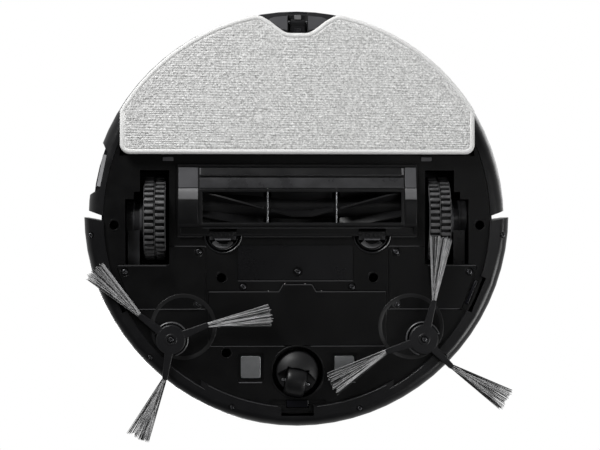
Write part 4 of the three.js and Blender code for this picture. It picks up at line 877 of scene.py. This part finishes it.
def add_pad():
    """Looped terry field inside a piped border."""
    columns, rows = FIELD_GRID
    deselect()
    bpy.ops.mesh.primitive_grid_add(x_subdivisions=columns, y_subdivisions=rows, size=2 * MM)
    pad = bpy.context.object
    half = PAD_HALF - FIELD_INSET
    for vertex in pad.data.vertices:
        x = vertex.co.x / MM * half
        t = (vertex.co.y / MM + 1) / 2
        y0, y1 = pad_rear(x, FIELD_INSET), pad_front(x, FIELD_INSET)
        y = y0 + (y1 - y0) * t
        edge = min(half - abs(x), y - y0, y1 - y)
        crown = CROWN * max(0.0, 1 - edge / CROWN_WIDTH) ** 2
        vertex.co = Vector((x, y, FIELD_Z + crown - loops(x, y) * min(1, edge / LOOP_FADE))) * MM
    bpy.ops.object.mode_set(mode="EDIT")
    bpy.ops.mesh.select_all(action="DESELECT")
    bpy.ops.mesh.select_non_manifold()
    bpy.ops.mesh.extrude_region_move(TRANSFORM_OT_translate={"value": (0, 0, 1.2 * MM)})
    bpy.ops.transform.resize(value=(1, 1, 0))
    bpy.ops.mesh.edge_face_add()
    close_shape()
    bpy.ops.object.shade_smooth_by_angle(angle=math.radians(70))
    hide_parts("mop_pad")
    finish_piece(pad, "terry_field", "pad_cloth", "mop_pad")
    add_piping()


def loops(x, y):
    """Depth of the terry loops: rows of plump loops that lean and jump a little."""
    row = y / 1.95 + 0.25 * math.sin(x * 0.05 + y * 0.3)
    index = math.floor(row)
    wander = math.sin(index * 12.9898) * 43758.5453
    offset = wander - math.floor(wander)
    across = x / 2.05 + offset + 0.35 * math.sin(x * 0.11 + index * 1.7)
    cell = math.floor(across)
    lift = math.sin(cell * 78.233 + index * 37.719) * 24634.6345
    size = 0.35 + 0.65 * (lift - math.floor(lift))
    plump_along = 0.45 + 0.55 * math.sin(math.pi * (across - cell)) ** 0.8
    plump = math.sin(math.pi * (row - index)) ** 0.7 * plump_along
    return LOOP_DEPTH * size * plump


def add_piping():
    """Rounded binding sewn round the pad's edge."""
    half = PAD_HALF - PIPING_INSET
    xs = [half * math.sin(math.pi * (i / PIPING_STEPS - 0.5)) for i in range(PIPING_STEPS + 1)]
    route = [(x, pad_rear(x, PIPING_INSET)) for x in xs]
    route += [(x, pad_front(x, PIPING_INSET)) for x in reversed(xs)]
    curve = bpy.data.curves.new("piping", "CURVE")
    curve.dimensions = "3D"
    curve.bevel_depth = PIPING_RADIUS * MM
    curve.bevel_resolution = 3
    spline = curve.splines.new("POLY")
    spline.points.add(len(route) - 1)
    for point, (x, y) in zip(spline.points, route):
        point.co = (x * MM, y * MM, PIPING_Z * MM, 1)
    spline.use_cyclic_u = True
    binding = bpy.data.objects.new("piping", curve)
    bpy.context.scene.collection.objects.link(binding)
    only(binding)
    bpy.ops.object.convert(target="MESH")
    binding = bpy.context.object
    bpy.ops.object.shade_smooth()
    finish_piece(binding, "pad_binding", "binding", "mop_pad")


NOTCH_PANEL = [(8.6, -155.5), (8.6, -167.6), (20, -166.4), (24.4, -164.6), (14, -156.6)]
LATCH_PIN = [(6.6, 0.9), (6.6, 1.2), (8.1, 1.2), (8.1, 0.9)]


def add_tank_details():
    """Panels in the pad's notch, and the pins, tip and key of the tank's latch."""
    for name, side in SIDES:
        panel = plate([(side * x, y) for x, y in NOTCH_PANEL], 3.75, 4.3)
        finish_piece(soften(panel, 0.2 * MM), f"notch_panel_{name}", "guard", "mop_module")
        pin = turned_x([(side * x, radius) for x, radius in LATCH_PIN], -162.6, 9, 20)
        close_ring(pin)
        finish_piece(pin, f"latch_pin_{name}", "steel", "mop_module")
    tip = plate(rectangle(-2.8, 2.8, -168.4, -164.7, 0.6), 5.8, 7.2)
    finish_piece(soften(tip, 0.3 * MM), "latch_tip", "guard_pale_and_highlight", "tank_latch")
    cap = plate(rectangle(-3, 3, -157.5, -152.9, 0.6), 6.2, 8.2)
    finish_piece(soften(cap, 0.3 * MM), "latch_key", "screw", "tank_latch")


VENT_NEAR = (-157.9, -54.8)
VENT_FAR = (-164.1, -24.6)


def add_vent_details():
    """Dark channel with ribs in the lower edge of the exhaust grille."""
    (x0, y0), (x1, y1) = VENT_NEAR, VENT_FAR
    length = math.hypot(x1 - x0, y1 - y0)
    along = Vector(((x1 - x0) / length, (y1 - y0) / length))
    inward = Vector((along.y, -along.x))
    middle = Vector(((x0 + x1) / 2, (y0 + y1) / 2))

    def strip(u0, u1, v0, v1, low):
        corners = [(u0, v0), (u1, v0), (u1, v1), (u0, v1)]
        return plate([middle + along * u + inward * v for u, v in corners], low, 30.3)

    channel = joined([strip(-12.4, 12.4, 0.5, 1.9, 29.85), strip(-12.4, 12.4, 3.6, 3.9, 29.85)])
    finish_piece(channel, "vent_channel", "guard_dark", "chassis")
    ribs = joined([strip(u - 0.35, u + 0.35, 0.4, 2, 29.6) for u in (-8.4, -4.2, 0, 4.2, 8.4)])
    finish_piece(ribs, "vent_ribs", "vent_grey", "chassis")


# ------------------------------------------------------------------ top


def add_top():
    """Rings and disc of the turret, the cover's line, the marks on the buttons and the lamp."""
    ring = turned([(42.6, 79.0), (42.6, 79.5), (44.4, 79.7), (46.2, 79.4), (46.4, 79.0)], 0, TURRET_Y, 96)
    close_ring(ring)
    finish_piece(soften(ring, 0.1 * MM), "turret_ring", "trim", "chassis")
    line = turned([(150.4, 78.9), (150.4, 79.25), (151.0, 79.35), (151.6, 79.25), (151.6, 78.9)], 0, 0, 160)
    close_ring(line)
    finish_piece(soften(line, 0.08 * MM, 1), "cover_line", "trim", "chassis")
    disc = turned([(0, 96.0), (30.6, 96.0), (31.0, 96.25), (30.6, 96.5), (0, 96.5)], 0, TURRET_Y, 96)
    finish_piece(soften(disc, 0.1 * MM), "turret_disc", "trim", "chassis")
    z0, z1 = MARK_Z0, MARK_Z1
    arc = turned([(3.2, z0), (3.2, z1), (4.0, z1), (4.0, z0)], -15, 62, 32, 300, 120)
    finish_piece(capped(arc), "power_ring", "mark", "power_button")
    stem = plate(rectangle(-15.45, -14.55, 62.6, 66.4, 0.2), z0, z1)
    finish_piece(soften(stem, 0.08 * MM), "power_stem", "mark", "power_button")
    roof = [(15, 66), (19.2, 62.2), (18, 62.2), (18, 58.8), (12, 58.8), (12, 62.2), (10.8, 62.2)]
    mark = soften(plate(roof, z0, z1), 0.08 * MM)
    finish_piece(mark, "home_mark", "mark", "home_button")
    lamp = turned([(0, 78.9), (1.3, 78.9), (1.3, 79.3), (0.9, 79.5), (0, 79.55)], 0, 76, 20)
    finish_piece(lamp, "status_lamp", "mark", "chassis")


# ------------------------------------------------------------------ the scene

add_camera()
add_world()
add_floor()
add_lights()
PAINTS = make_paints()

SLOTS = {row["node"]: row["material_slot"] for row in frame["record"]["subparts"]}
BODIES = {n: body for body, ns in frame["record"]["behaviour"]["bodies"].items() for n in ns}
# the wheel arms take the gearbox paint, lighter than their plastic: painted light
LOOKS = {"guard_frame": "guard_dark", "exhaust_grille": "vent_grey", "caster_fork": "dome",
         "caster_wheel": "soft_rubber", "mop_tank": "grey_plastic", "tank_latch": "hub",
         "wheel_arm_left": "gearbox", "wheel_arm_right": "gearbox"}
REPLACED = {"tyre_left", "tyre_right", "side_brush_left", "side_brush_right", "mop_pad"}
BROAD = {"side_ring", "bumper", "top_cover", "mop_tank"}
for name, node in frame["nodes"].items():
    node.data.materials.clear()
    node.data.materials.append(PAINTS[SLOTS[name]])
for name in list(frame["nodes"]):
    if name in REPLACED:
        continue
    width = 0.5 * MM if name in BROAD else 0.3 * MM
    piece = refined_copy(name, LOOKS.get(name, SLOTS[name]), BODIES[name], width, wells_in(name))

screw = add_screws()
add_underside()
add_guard()
for name, side in SIDES:
    add_tyre(name, side)
    add_side_brush(name, screw)
bpy.data.objects.remove(screw)
add_pad()
add_tank_details()
add_vent_details()
add_top()
